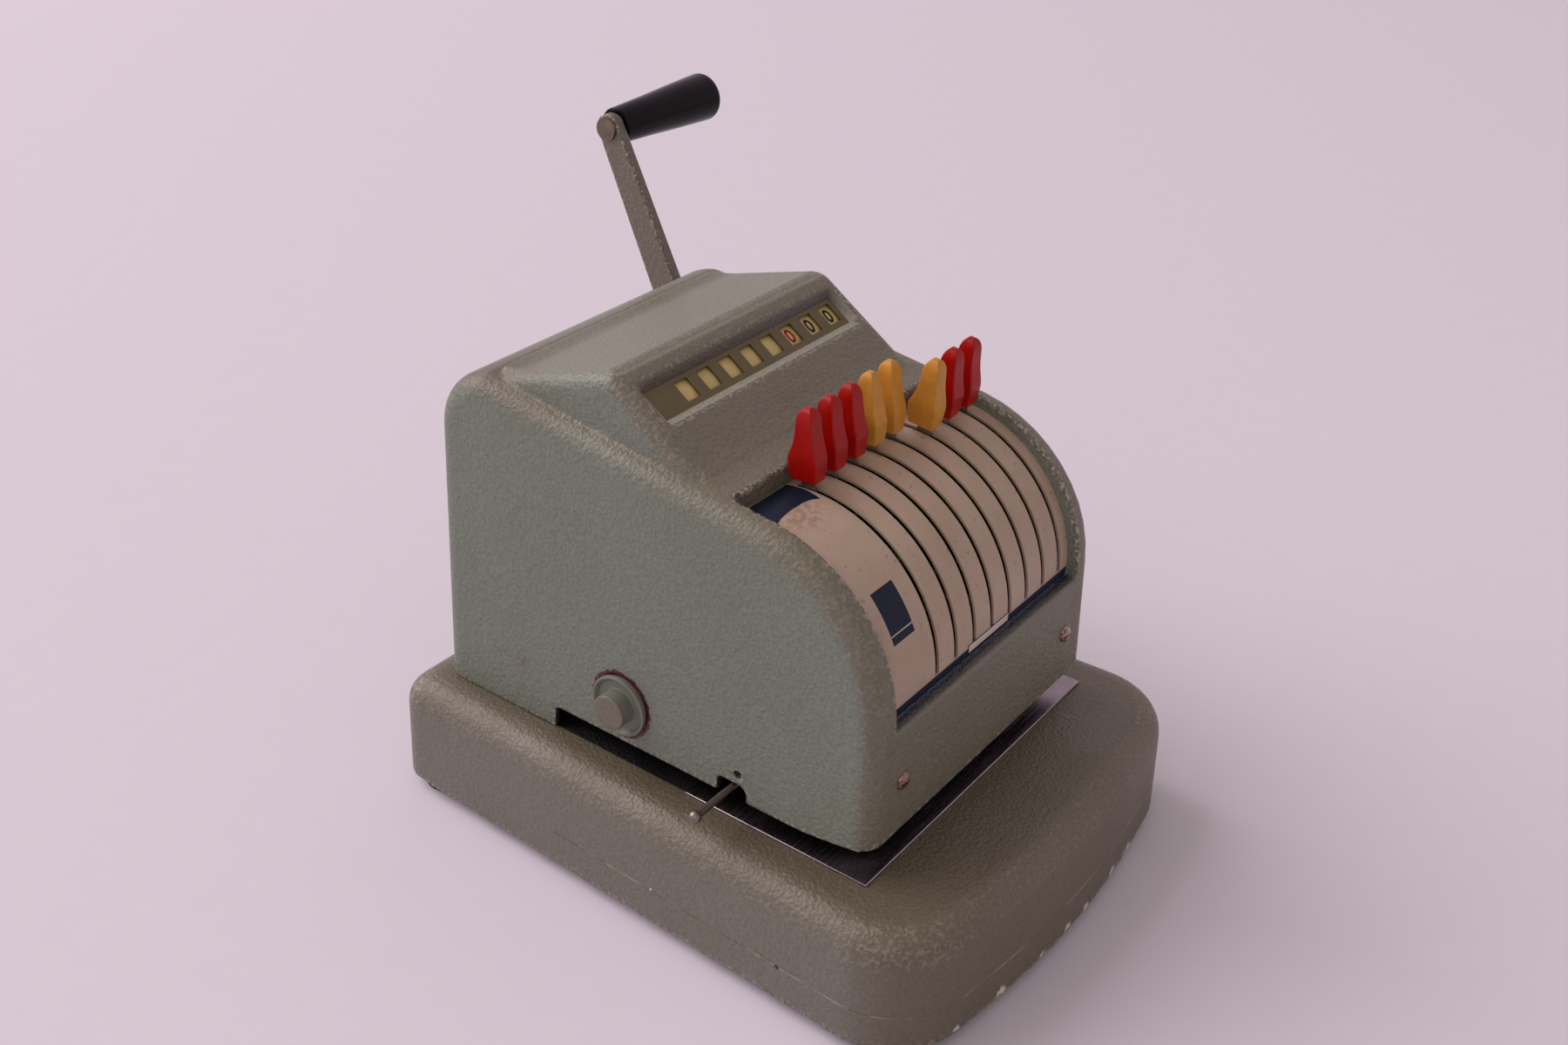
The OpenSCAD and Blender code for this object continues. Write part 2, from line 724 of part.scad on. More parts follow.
module handle_shaft() {
    color("#a3a5a7") at_arc() {
        rod(shaft_at, shaft_r, frames_x[0] - 3, arm_x[1] + 1);
        rod(shaft_at, 10, -8, -2);
        translate([cam_x, shaft_at[0], shaft_at[1]]) along_x(8) union() {
            circle(cam_r);
            polygon(concat([[0, 0]], [for (t = [0:5:handle_swing]) cam_pt(t)], [polar(cam_r, -170)]));
        }
    }
}

side_face_shaft = body_w / 2 - (arc_up + shaft_at[1]) * tan(body_draft);

module handle_bush() {
    color("#8d8f8c") at_arc() difference() {
        union() {
            rod(shaft_at, 12, side_face_shaft + 0.45, side_face_shaft + 2.2);
            rod(shaft_at, 9, side_face_shaft - 7, side_face_shaft + 1);
        }
        rod(shaft_at, shaft_r + fit, side_face_shaft - 17, side_face_shaft + 12);
    }
}

module handle_arm() {
    color("#77796c") at_arc() difference() {
        union() {
            rod(shaft_at, 13, arm_x[0] - 1.5, arm_x[1] + 1);
            translate([(arm_x[0] + arm_x[1]) / 2, 0, 0]) along_x(arm_x[1] - arm_x[0]) union() {
                translate(shaft_at) rotate(-arm_lean)
                    polygon([[-arm_w / 2, 0], [arm_w / 2, 0], [arm_tip_w / 2, arm_len - 0.5],
                        [-arm_tip_w / 2, arm_len - 0.5]]);
                translate(grip_at) circle(arm_tip_w / 2 + 0.1);
            }
        }
        rod(shaft_at, shaft_r + 0.02, arm_x[0] - 12, arm_x[1] + 13);
        rod(grip_at, 4.02, arm_x[0] - 12, arm_x[1] + 13);
    }
}

module grip_pin() {
    color("#8f8d84") at_arc() {
        rod(grip_at, 4, arm_x[0] - 0.5, arm_x[1] + grip_len - 6);
        rod(grip_at, 5.2, arm_x[0] - 1.4, arm_x[0]);
    }
}

module handle_grip() {
    x1 = arm_x[1] + 0.4;
    color("#141414") at_arc() translate([x1, grip_at[0], grip_at[1]]) rotate([0, 90, 0]) difference() {
        rotate_extrude($fn = 72) polygon(concat(
            [[0, 0], [7.2, 0], [8.2, 1]],
            [for (a = [0:15:90]) [8.2 + 3 * cos(a), grip_len - 3 + 3 * sin(a)]],
            [[0, grip_len]]
        ));
        translate([0, 0, -1]) cylinder(h = grip_len - 4, r = 4 + fit);
    }
}

// --- torsion spring round the handle shaft: one tube, its path a formula ---
spring_r = 10.6;
spring_wire = 1.1;
spring_turns = 5.5;
spring_pitch = 4.2;
spring_x0 = -34;
spring_start = 160;
leg_len = 27;
coil_rings = 60;

function spring_dir(t) = spring_start + 360 * spring_turns * t;
function coil_pt(t) = let(a = spring_dir(t))
    [spring_x0 + spring_pitch * spring_turns * t, spring_r * cos(a), spring_r * sin(a)];
function leg_pt(t, s) = coil_pt(t) + s * [0, sin(spring_dir(t)), -cos(spring_dir(t))];
function ring(c, a) = [
    for (j = [0:7]) c + spring_wire * (cos(45 * j) * [0, cos(a), sin(a)] + sin(45 * j) * [1, 0, 0])
];
spring_path = concat(
    [[leg_pt(0, leg_len), spring_dir(0)]],
    [for (i = [0:coil_rings]) [coil_pt(i / coil_rings), spring_dir(i / coil_rings)]]
);
spring_points = [for (p = spring_path) each ring(p[0], p[1])];
ring_count = len(spring_path);
turn_rings = coil_rings / spring_turns;
spring_gap = min([for (i = [0:ring_count - 1]) for (j = [i + ceil(turn_rings / 2):1:ring_count - 1])
    norm(spring_path[i][0] - spring_path[j][0])]) - 2 * spring_wire;

module return_spring() {
    color("#6e7072") at_arc() translate([0, shaft_at[0], shaft_at[1]]) polyhedron(
        points = spring_points,
        faces = concat(
            [[for (j = [0:7]) j]],
            [for (i = [0:ring_count - 2]) for (j = [0:7])
                [8 * i + j, 8 * i + 8 + j, 8 * i + 8 + (j + 1) % 8, 8 * i + (j + 1) % 8]],
            [[for (j = [7:-1:0]) 8 * (ring_count - 1) + j]]
        )
    );
    echo(str("least gap of the spring to itself: ", spring_gap));
}

base_casting();
bottom_plate();
base_screws();
rubber_feet();
check_table();
platen_arm();
platen_pad();
feed_roller();
housing();
front_screws();
scale_plate();
window_mask();
frame_left();
frame_right();
tie_rods();
front_bar();
lever_shaft();
dial_shafts();
detent_comb();
ink_roller();
ink_roller_cap();
pin_lever();
handle_shaft();
handle_bush();
handle_arm();
handle_grip();
grip_pin();
return_spring();
lever(0);  // lever_1
lever(1);  // lever_2
lever(2);  // lever_3
lever(3);  // lever_4
lever(4);  // lever_5
lever(5);  // lever_6
lever(6);  // lever_7
lever(7);  // lever_8
knob(0);  // knob_1
knob(1);  // knob_2
knob(2);  // knob_3
knob(3);  // knob_4
knob(4);  // knob_5
knob(5);  // knob_6
knob(6);  // knob_7
knob(7);  // knob_8
idler(0);  // idler_1
idler(1);  // idler_2
idler(2);  // idler_3
idler(3);  // idler_4
idler(4);  // idler_5
idler(5);  // idler_6
idler(6);  // idler_7
idler(7);  // idler_8
dial(0);  // dial_1
dial(1);  // dial_2
dial(2);  // dial_3
dial(3);  // dial_4
dial(4);  // dial_5
dial(5);  // dial_6
dial(6);  // dial_7
dial(7);  // dial_8
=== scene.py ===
"""Looks of the desk check writer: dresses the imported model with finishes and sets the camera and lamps."""

from functools import partial
from math import cos, pi, radians, sin

import bmesh
import bpy
import numpy as np
from mathutils import Matrix, Vector


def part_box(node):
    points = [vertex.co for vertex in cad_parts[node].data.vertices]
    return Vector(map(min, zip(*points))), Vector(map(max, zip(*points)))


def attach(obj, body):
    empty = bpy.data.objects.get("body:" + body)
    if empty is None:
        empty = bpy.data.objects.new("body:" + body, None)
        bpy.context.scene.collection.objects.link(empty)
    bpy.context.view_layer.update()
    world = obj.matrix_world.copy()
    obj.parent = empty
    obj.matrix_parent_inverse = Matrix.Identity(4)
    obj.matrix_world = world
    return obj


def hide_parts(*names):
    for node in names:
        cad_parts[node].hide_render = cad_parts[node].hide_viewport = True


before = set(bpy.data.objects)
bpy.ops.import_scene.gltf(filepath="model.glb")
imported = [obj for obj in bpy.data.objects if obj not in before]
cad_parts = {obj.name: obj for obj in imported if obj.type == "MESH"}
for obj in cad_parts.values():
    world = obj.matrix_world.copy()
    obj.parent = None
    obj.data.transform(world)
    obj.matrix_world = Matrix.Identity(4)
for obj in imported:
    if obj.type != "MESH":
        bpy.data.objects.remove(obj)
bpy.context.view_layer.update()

bl_info = {
    "name": "Desk check writer",
    "version": (1, 0, 0),
    "blender": (4, 5, 0),
    "location": "View3D > Sidebar > Check writer",
    "description": "Dresses the check writer: castings, scale, dials, knobs, handle and stage",
    "category": "Object",
}

MM = 0.001
# places and sizes in millimetres; x = 0 is the middle of the body
ARC = Vector((0.0, -28.5, 117.0))  # lever shaft; the places below are (y, z) from it
DIAL_AT = Vector((0.0, 67.30, 62.53))  # dial shaft
INK_AT = (53.5, -36.3)  # ink roller
SHAFT_AT = (134.6, -14.8)  # handle shaft
RIDGE = (66.3, 94.3)  # ridge of the hood
HOOD_SLOPE = 35  # degrees, of the hood's front
WINDOW_DOWN = 17.8  # middle of the number window, down the slope from the ridge
LEDGE = (56.0, 61.4)  # ledge under the scale plate: how far in front of the shaft it starts and ends
DIAL_R = 22.3
SCALE_R = 56.65
LEVER_X = [-31.6 + 12.7 * i for i in range(8)]
CELL_DX = -5.7  # middle of a window cell from its lever
NOTCH = 360 / 44  # degrees between two digits of a lever
SHOWN = (0, 0, 0, 0, 0, 1, 1, 1)  # notches that each lever stands forward of blank
YELLOW = (3, 4, 5)  # levers with yellow knobs and red digits
PARTING = 20.8  # height of the base casting's parting line
# chips at the front of the foot: x and radius
CHIPS = ((51.4, 1.6), (47.0, 0.9), (33.6, 1.9), (9.0, 1.3),
         (-5.9, 1.5), (-24.6, 1.0), (-50.7, 2.1), (-76.4, 1.2))


def linear(code):
    """An sRGB hex colour as the linear RGBA that shaders work in."""
    parts = [int(code[i : i + 2], 16) / 255 for i in (1, 3, 5)]
    return (*[c / 12.92 if c <= 0.04045 else ((c + 0.055) / 1.055) ** 2.4 for c in parts], 1.0)


def colour(label, note, code):
    return bpy.props.FloatVectorProperty(
        name=label, description=note, subtype="COLOR", size=4, min=0, max=1, default=linear(code))


def length(label, note, millimetres, low, high):
    return bpy.props.FloatProperty(
        name=label, description=note, default=millimetres * MM, min=low * MM, max=high * MM,
        subtype="DISTANCE", unit="LENGTH", precision=5)


class CheckWriterSizes(bpy.types.PropertyGroup):
    cast_grain: length("Cast grain", "Edge of one remeshed face of the castings", 0.8, 0.6, 2.0)
    hood_blend: length("Hood blend", "Softness of the hood's foot on the deck", 4.5, 0.5, 8)
    knob_height: length("Knob height", "Height of a lever knob", 28.3, 26, 29)
    digit_height: length("Digit height", "Height of a digit on its dial", 6.4, 4, 8)
    wire: length("Spring wire", "Radius of the return spring's wire", 1.1, 0.8, 1.2)
    paint_grain: length("Paint grain", "Size of one pebble of the crinkle enamel", 1.5, 0.6, 4)


class CheckWriterColours(bpy.types.PropertyGroup):
    body: colour("Body enamel", "Grey-green enamel of the housing", "#70776c")
    # this warm colour is dirt on the upward faces and painted shade on the front faces
    body_warm: colour("Aged enamel", "The same enamel where dirt has worked in", "#6c6655")
    base: colour("Base enamel", "Enamel of the base casting", "#6d6a60")
    grime: colour("Grime", "Brown dirt on the edges", "#4a3d2a")
    red: colour("Red knobs", "Moulded red plastic", "#a80e09")
    yellow: colour("Yellow knobs", "Moulded yellow plastic", "#cf8f3a")
    scale: colour("Scale plate", "Cream enamel of the scale plate", "#b9a091")
    navy: colour("Printed marks", "Navy printing on the scale plate", "#101a30")
    mask: colour("Window mask", "Olive enamel behind the window", "#5c5028")
    ivory: colour("Dials", "Ivory of the digit dials", "#d9bd84")
    ink: colour("Ink", "Dried ink round the roller cap", "#4c0c1c")
    floor: colour("Floor", "Pale paper under the machine", "#e9dff3")
    wall: colour("Backdrop", "Pale backdrop behind the machine", "#dccbd8")


# --- meshes ---


def modify(obj, kind, **settings):
    modifier = obj.modifiers.new(kind.title(), kind)
    for key, value in settings.items():
        setattr(modifier, key, value)


def evaluated(obj):
    return bpy.data.meshes.new_from_object(obj.evaluated_get(bpy.context.evaluated_depsgraph_get()))


def plain_mesh(obj):
    """The object, with its modifiers applied to its mesh and taken off."""
    mesh = evaluated(obj)
    obj.modifiers.clear()
    obj.data = mesh
    return obj


def new_object(name, mesh):
    obj = bpy.data.objects.new(name, mesh)
    bpy.context.scene.collection.objects.link(obj)
    return obj


def mesh_from(name, points, faces, edges=()):
    mesh = bpy.data.meshes.new(name)
    mesh.from_pydata([tuple(c * MM for c in p) for p in points], edges, faces)
    mesh.update()
    return mesh


def smooth_shading(obj, angle=None):
    for polygon in obj.data.polygons:
        polygon.use_smooth = True
    if angle is not None:
        obj.data.set_sharp_from_angle(angle=radians(angle))


def worked(mesh, step):
    """The mesh, after a step of bmesh work on it."""
    bm = bmesh.new()
    bm.from_mesh(mesh)
    step(bm)
    bm.to_mesh(mesh)
    bm.free()
    return mesh


def outwards(bm):
    bmesh.ops.recalc_face_normals(bm, faces=bm.faces)


def upwards(bm):
    """Turns the faces of a flat mesh to +Z."""
    for face in bm.faces:
        if face.normal.z < 0:
            face.normal_flip()


def merged_copy(node, name):
    """A new object whose mesh is the CAD node's, with its loose triangles joined."""
    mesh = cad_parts[node].data.copy()
    mesh.name = name
    worked(mesh, lambda bm: bmesh.ops.remove_doubles(bm, verts=bm.verts, dist=1e-6))
    mesh.materials.clear()
    return new_object(name, mesh)


def vectors(mesh, what="co"):
    values = np.zeros(len(mesh.vertices) * 3, np.float32)
    mesh.vertices.foreach_get(what, values)
    return values.reshape(-1, 3).astype(float)


def set_points(mesh, co):
    mesh.vertices.foreach_set("co", co.astype(np.float32).ravel())
    mesh.update()


def set_value(mesh, name, values):
    attribute = mesh.attributes.get(name) or mesh.attributes.new(name, "FLOAT", "POINT")
    attribute.data.foreach_set("value", np.clip(values, 0, 1).astype(np.float32))


def smoothed(mesh, steps, factor=0.5):
    """Where the mesh's points would lie after so many smoothing steps."""
    obj = new_object("smoothing", mesh.copy())
    modify(obj, "SMOOTH", factor=factor, iterations=steps)
    co = vectors(plain_mesh(obj).data)
    bpy.data.objects.remove(obj)
    return co


def cast(node, name, grain, soften, shape=None, faces=180000):
    """A casting with soft edges from a CAD node, with the rubbing of its edges, its dirt and its painted
    front shade kept as attributes.
    """
    obj = merged_copy(node, name)
    modify(obj, "REMESH", mode="VOXEL", voxel_size=grain, adaptivity=0)
    modify(obj, "SMOOTH", factor=0.5, iterations=soften)
    plain_mesh(obj)
    mesh = obj.data
    if shape:
        set_points(mesh, shape(vectors(mesh), vectors(mesh, "normal")))
    around, normals = smoothed(mesh, 40), vectors(mesh, "normal")
    # 1 where an edge stands 0.9 mm proud of the smoothed shape
    bulge = np.einsum("ij,ij->i", vectors(mesh) - around, normals) / (0.9 * MM)
    # the last value is dirt on the upward faces and painted shade on the front faces
    wear_and_shade = {"edge": bulge, "hollow": -bulge, "upward": normals[:, 2],
            "aged": 0.6 * normals[:, 2] - 1.1 * normals[:, 1]}
    for kind, values in wear_and_shade.items():
        set_value(mesh, kind, values)
    triangles = sum(len(p.vertices) - 2 for p in obj.data.polygons)
    if triangles > faces:
        modify(obj, "DECIMATE", ratio=faces / triangles)
        plain_mesh(obj)
    smooth_shading(obj)
    return obj


def turned(name, profile, axis_at, steps=96, cap=True):
    """A solid turned about an X axis through axis_at (y, z); profile is (x, radius) pairs, all in mm."""
    points, faces, rings = [], [], []
    for x, r in profile:
        if r == 0:
            rings.append([len(points)])
            points.append((x, *axis_at))
        else:
            rings.append(list(range(len(points), len(points) + steps)))
            for k in range(steps):
                a = 2 * pi * k / steps
                points.append((x, axis_at[0] + r * cos(a), axis_at[1] + r * sin(a)))
    for one, two in zip(rings, rings[1:]):
        for k in range(steps):
            n = (k + 1) % steps
            if len(one) == 1 and len(two) > 1:
                faces.append((one[0], two[k], two[n]))
            elif len(two) == 1 and len(one) > 1:
                faces.append((one[k], one[n], two[0]))
            elif len(one) > 1:
                faces.append((one[k], one[n], two[n], two[k]))
    points = [(x, y + ARC.y, z + ARC.z) for x, y, z in points]
    return new_object(name, worked(mesh_from(name, points, faces), outwards))


def rounded(start, corner, end, radius, steps=5):
    """Points of a round where two straight lines of a profile meet."""
    corner, out = Vector(corner), []
    one = (Vector(start) - corner).normalized() * radius
    two = (Vector(end) - corner).normalized() * radius
    for k in range(steps + 1):
        t = k / steps
        out.append(tuple(corner + one * (1 - t) ** 2 + two * t**2))
    return out


def dress(obj, material, slot, body, *nodes):
    """Gives a finished piece its material, its body and the CAD nodes it stands for; its slot is not used.
    """
    obj.data.materials.clear()
    obj.data.materials.append(material)
    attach(obj, body)
    if nodes:
        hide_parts(*nodes)
    return obj


def paint_node(material, *nodes):
    for name in nodes:
        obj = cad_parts[name]
        if not obj.material_slots:
            obj.data.materials.append(material)
        for place in obj.material_slots:
            place.material = material


# --- node trees ---


# the nodes used most, by a short name: type, inputs in the order of the call, output (None: all), settings;
# a noise's scale counts its blobs in a metre: 160 draws blobs of 6 mm, 420 of 2.4 mm and 900 of 1.1 mm
SHORT = {
    "noise": ("ShaderNodeTexNoise", ("Vector", "Scale", "Detail", "Roughness"), "Fac", {}),
    "ramp": ("ShaderNodeValToRGB", ("Fac",), "Color", {}),
    "mix": ("ShaderNodeMix", (0, 6, 7), 2, {"data_type": "RGBA", "clamp_factor": True}),
    "bump": ("ShaderNodeBump", ("Height", "Distance", "Strength"), "Normal", {}),
    "distance": ("ShaderNodeVectorMath", (0, 1), "Value", {"operation": "DISTANCE"}),
    "remap": ("ShaderNodeMapRange", range(5), 0, {}),
    "split": ("ShaderNodeSeparateXYZ", (0,), None, {}),
    "combine": ("ShaderNodeCombineXYZ", (0, 1, 2), 0, {}),
    "attribute": ("ShaderNodeAttribute", (), "Fac", {}),
}


def add(tree, kind, *inputs, out=0, stops=(), curve=(), **settings):
    """Adds a node by its type, its short name or an operation of the math node, and returns its output.

    Inputs are values, hex colours, sockets to link or lists of them, in the node's order or as one dict."""
    keys, more = range(9), {}
    if kind in SHORT:
        kind, keys, out, more = SHORT[kind]
    elif kind.islower():
        kind, more = "ShaderNodeMath", {"operation": kind.upper()}
    node = tree.nodes.new(kind)
    for key, value in {**more, **settings}.items():
        setattr(node, key, value)
    given = inputs[0] if inputs and isinstance(inputs[0], dict) else dict(zip(keys, inputs))
    for key, value in given.items():
        for one in value if isinstance(value, list) else [value]:
            if isinstance(one, bpy.types.NodeSocket):
                tree.links.new(one, node.inputs[key])
            else:
                node.inputs[key].default_value = linear(one) if isinstance(one, str) else one
    if stops:
        elements = node.color_ramp.elements
        while len(elements) < len(stops):
            elements.new(1)
        for element, (place, value) in zip(elements, stops):
            element.position = place
            if isinstance(value, str):
                value = linear(value)
            element.color = (value, value, value, 1) if isinstance(value, (int, float)) else value
    if curve:
        points = node.mapping.curves[0].points
        while len(points) < len(curve):
            points.new(1, 1)
        for point, place in zip(points, curve):
            point.location = place
        node.mapping.update()
    return node.outputs if out is None else node.outputs[out]


def emptied(data):
    """Clears the tree of a material or world; returns the function that adds nodes to it."""
    data.use_nodes = True
    data.node_tree.nodes.clear()
    return partial(add, data.node_tree)


def new_material(name):
    """A material, the function that adds nodes to it, and its object coordinates."""
    material = bpy.data.materials.new(name)
    node = emptied(material)
    return material, node, node("ShaderNodeTexCoord", out="Object")


def surface(material, inputs):
    """Gives the material its shader, with these inputs, and its output."""
    node = partial(add, material.node_tree)
    node("ShaderNodeOutputMaterial", {"Surface": node("ShaderNodeBsdfPrincipled", inputs)}, out=None)
    return material


def toned(node, shade, grain, low, high):
    """The shade, made darker and lighter by a grain."""
    tone = node("ramp", grain, stops=((0.3, low), (0.7, high)))
    return node("mix", 1.0, shade, tone, blend_type="MULTIPLY")


def layer(node, shade, over, *masks):
    """Lays a colour over the shade, as far as all the masks together let it through."""
    amount = masks[0]
    for mask in masks[1:]:
        amount = node("multiply", amount, mask)
    return node("mix", amount, shade, over)


def geometry_tree(name, inputs):
    """A geometry tree with named inputs: the function that adds its nodes, its inputs and its output."""
    tree = bpy.data.node_groups.new(name, "GeometryNodeTree")
    for label, kind, default in inputs:
        socket = tree.interface.new_socket(label, in_out="INPUT", socket_type="NodeSocket" + kind)
        if default is not None:
            socket.default_value = default
    tree.interface.new_socket("Geometry", in_out="OUTPUT", socket_type="NodeSocketGeometry")
    ins, out = tree.nodes.new("NodeGroupInput").outputs, tree.nodes.new("NodeGroupOutput").inputs
    return partial(add, tree), ins, out


def end_tree(node, geometry, material, out):
    """Makes the geometry real, gives it its material and ends the tree with it."""
    tree, real = out[0].id_data, node("GeometryNodeRealizeInstances", geometry)
    tree.links.new(node("GeometryNodeSetMaterial", {"Geometry": real, "Material": material}), out[0])
    return tree


def grown(name, tree, values, mesh=None):
    """Runs a geometry tree on a mesh, or on nothing, and keeps the result as a plain mesh."""
    obj = new_object(name, mesh or bpy.data.meshes.new(name))
    modifier = obj.modifiers.new(tree.name, "NODES")
    modifier.node_group = tree
    for item in tree.interface.items_tree:
        if item.in_out == "INPUT" and item.name in values:
            modifier[item.identifier] = values[item.name]
    return plain_mesh(obj)


# --- finishes ---


def enamel(name, base, warm, grime, grain, marks=None):
    """Crinkle enamel, stoved on a casting: fine rounded pebbles, a semi-gloss skin, brown dirt
    on the edges and in the hollows, painted highlights on the pebble tops along the edges, and a warm tone
    that is dirt on the upward faces and painted shade on the front faces, with a cleaner, greener tone
    on the other upright faces."""
    material, node, where = new_material(name)
    pebbles = node("noise", where, 1 / grain, 2.0, 0.55)
    coarse = node("noise", where, 0.35 / grain, 2.0, 0.5)
    tone = node("noise", where, 22, 3.0, 0.6)
    aged, edge, hollow = [node("attribute", attribute_name=n) for n in ("aged", "edge", "hollow")]
    # the warm tone is dirt on the upward faces and painted shade on the front faces, turned from the window
    # lamp
    warm_mask = node("add", node("multiply", aged, 0.85), node("multiply", tone, 0.5))
    shade = node("mix", node("ramp", warm_mask, stops=((0.25, 0.0), (0.8, 1.0))), base, warm)
    shade = toned(node, shade, pebbles, 0.82, 1.12)
    # on the edges dirt, then painted highlights on the pebble tops and the dark pits between the pebbles
    for over, reach, grit, parts, share in (
        (grime, ((0.25, 0.0), (0.9, 1.0)), coarse, ((0.4, 0.15), (0.66, 1.0)), [0.45]),
        ("#aca394", ((0.1, 0.0), (0.5, 0.85)), pebbles, ((0.52, 0.0), (0.6, 1.0)), []),
        (grime, ((0.15, 0.0), (0.6, 0.4)), pebbles, ((0.36, 1.0), (0.46, 0.0)), []),
    ):
        on_edge, on_grit = node("ramp", edge, stops=reach), node("ramp", grit, stops=parts)
        shade = layer(node, shade, over, on_edge, on_grit, *share)
    shade = layer(node, shade, grime, node("ramp", hollow, stops=((0.2, 0.0), (0.9, 1.0))), 0.35)
    if marks:
        shade = marks(node, where, shade, edge)
    height = node("add", pebbles, node("multiply", coarse, 0.6))
    return surface(material, {
        "Base Color": shade, "Roughness": node("ramp", tone, stops=((0.3, 0.40), (0.7, 0.52))),
        "Normal": node("bump", height, 0.0006, 0.9), "Specular IOR Level": 0.7})


def near(node, where, centre, radius, fade):
    """1 inside a ball, falling to 0 over its skin; all in millimetres."""
    away = node("distance", where, tuple(c * MM for c in centre))
    return node("remap", away, radius * MM, (radius + fade) * MM, 1.0, 0.0)


def housing_marks(colours):
    def marks(node, where, shade, edge):
        at = node("split", where)
        upward = node("attribute", attribute_name="upward")
        # chips of bare black iron along the left shoulder and the hood's front edge
        speck = node("noise", where, 420, 1.0, 0.4)
        speck = node("ramp", speck, stops=((0.53, 0.0), (0.57, 1.0)))
        shoulder, hood = near(node, where, (-76, -26, 171), 20, 8), near(node, where, (-66, 28, 203), 14, 8)
        zone = node("add", shoulder, hood, use_clamp=True)
        on_edge = node("ramp", edge, stops=((0.3, 0.0), (0.45, 1.0)))
        shade = layer(node, shade, "#15120f", speck, zone, on_edge)
        # the top of the hood slopes to the window; painted sheen: it is painted paler, as it catches the
        # gloss of the pale backdrop
        roof_sheen = node("ramp", upward, stops=((0.90, 0.0), (0.945, 1.0), (0.965, 1.0), (0.985, 0.0)))
        shade = layer(node, shade, "#858077", roof_sheen, node("greater_than", at["Y"], 0.030), 0.8)
        # the top of the rear corner of the deck is made a darker brown
        on_top = node("ramp", upward, stops=((0.25, 0.0), (0.75, 0.6)))
        shade = layer(node, shade, "#5d5042", near(node, where, (-76, 100, 176), 16, 26), on_top)
        # the ledge under the scale plate: the printed band next to the plate, then painted shade, and no
        # painted highlight on its rim
        depth = node("remap", at["Y"], (ARC.y - LEDGE[0]) * MM, (ARC.y - LEDGE[1]) * MM, 0.0, 1.0)
        tint = node("ramp", depth, stops=((0.41, colours.navy), (0.48, "#3a362c"), (1.0, "#66645a")))
        inner = node("less_than", node("absolute", at["X"]), 64.5 * MM)
        under = node("less_than", at["Z"], (ARC.z - 3.0) * MM)
        front = node("less_than", at["Y"], (ARC.y - 54.0) * MM)
        fade = node("remap", at["Z"], (ARC.z - 7.2) * MM, (ARC.z - 4.8) * MM, 0.0, 1.0)
        shade = layer(node, shade, tint, inner, under, front, fade)
        # a scuff low on the left side, and painted shade in the hole over the pin lever
        scuff = node("ramp", node("noise", where, 420, 2.0), stops=((0.45, 0.0), (0.58, 0.7)))
        shade = layer(node, shade, "#6b4640", near(node, where, (-78.6, 77.3, 77.6), 1.4, 2.2), scuff)
        shade = layer(node, shade, "#100e0c", near(node, where, (-78.6, -31.7, 74.9), 1.75, 0.15))
        # painted shade: the cut edges of the throat are painted near-black, as the throat's inside lies in
        # shade
        facing = node("split", node("ShaderNodeTexCoord", out="Normal"))["X"]
        across = node("less_than", node("absolute", facing), 0.8)
        along = node("less_than", node("absolute", at["Y"]), 0.075)
        shade = layer(node, shade, "#100e0c", across, along, node("less_than", at["Z"], 0.0690))
        # dried ink, squeezed out round the roller cap with a ragged rim
        flat = node("ShaderNodeVectorMath", where, (0.0, 1.0, 1.0), operation="MULTIPLY")
        away = node("distance", flat, (0.0, (ARC.y + INK_AT[0]) * MM, (ARC.z + INK_AT[1]) * MM))
        away = node("add", away, node("multiply", node("noise", where, 420, 2.0), 0.0026))
        ring = node("ramp", node("multiply", away, 50.0), stops=((0.787, 1.0), (0.80, 0.0)))
        return layer(node, shade, colours.ink, ring, node("less_than", at["X"], -0.076))

    return marks


def base_marks(node, where, shade, edge):
    at = node("split", where)
    # the parting line of the casting, filed away toward the rear
    line = node("compare", at["Z"], PARTING * MM, 0.00032)
    upright = node("less_than", node("attribute", attribute_name="upward"), 0.2)
    tint = node("ramp", node("noise", where, 60), stops=((0.42, "#a39a8c"), (0.55, "#5a4428")))
    shade = layer(node, shade, tint, line, upright, 0.75, node("less_than", at["Y"], 0.045))
    # painted shade: the part of the top that the housing covers is painted near-black, as it lies in shade
    # under the housing
    across = node("less_than", node("absolute", at["X"]), 0.0782)
    along = node("less_than", node("absolute", node("subtract", at["Y"], 0.0175)), 0.101)
    shade = layer(node, shade, "#0b0a09", across, along, node("greater_than", at["Z"], 0.050))
    # pale primer where the bowed front of the foot is chipped, and one chip on the left side
    bare = near(node, where, (-100.7, -7.8, 21.2), 0.5, 0.4)
    for x, size in CHIPS:
        bow = -137.5 + 13.6 * (x / 104.2) ** 2
        bare = node("maximum", bare, near(node, where, (x, bow, 7.2), size, 1.2))
    crumbs = node("ramp", node("noise", where, 520, 2.0), stops=((0.44, 0.0), (0.50, 1.0)))
    shade = layer(node, shade, "#e0d3c6", bare, crumbs, node("less_than", at["Z"], 0.0225))
    # a dark spot and a brown streak by the parting line, at the front left
    shade = layer(node, shade, "#24120c", near(node, where, (-102.4, -69.5, 20.7), 0.9, 0.5))
    streak = node("ramp", node("noise", where, 210), stops=((0.5, 0.0), (0.62, 0.5)))
    thin = node("compare", at["Z"], 0.0214, 0.0014)
    return layer(node, shade, "#5b3d1c", near(node, where, (-102, -60, 21), 9, 14), streak, thin)


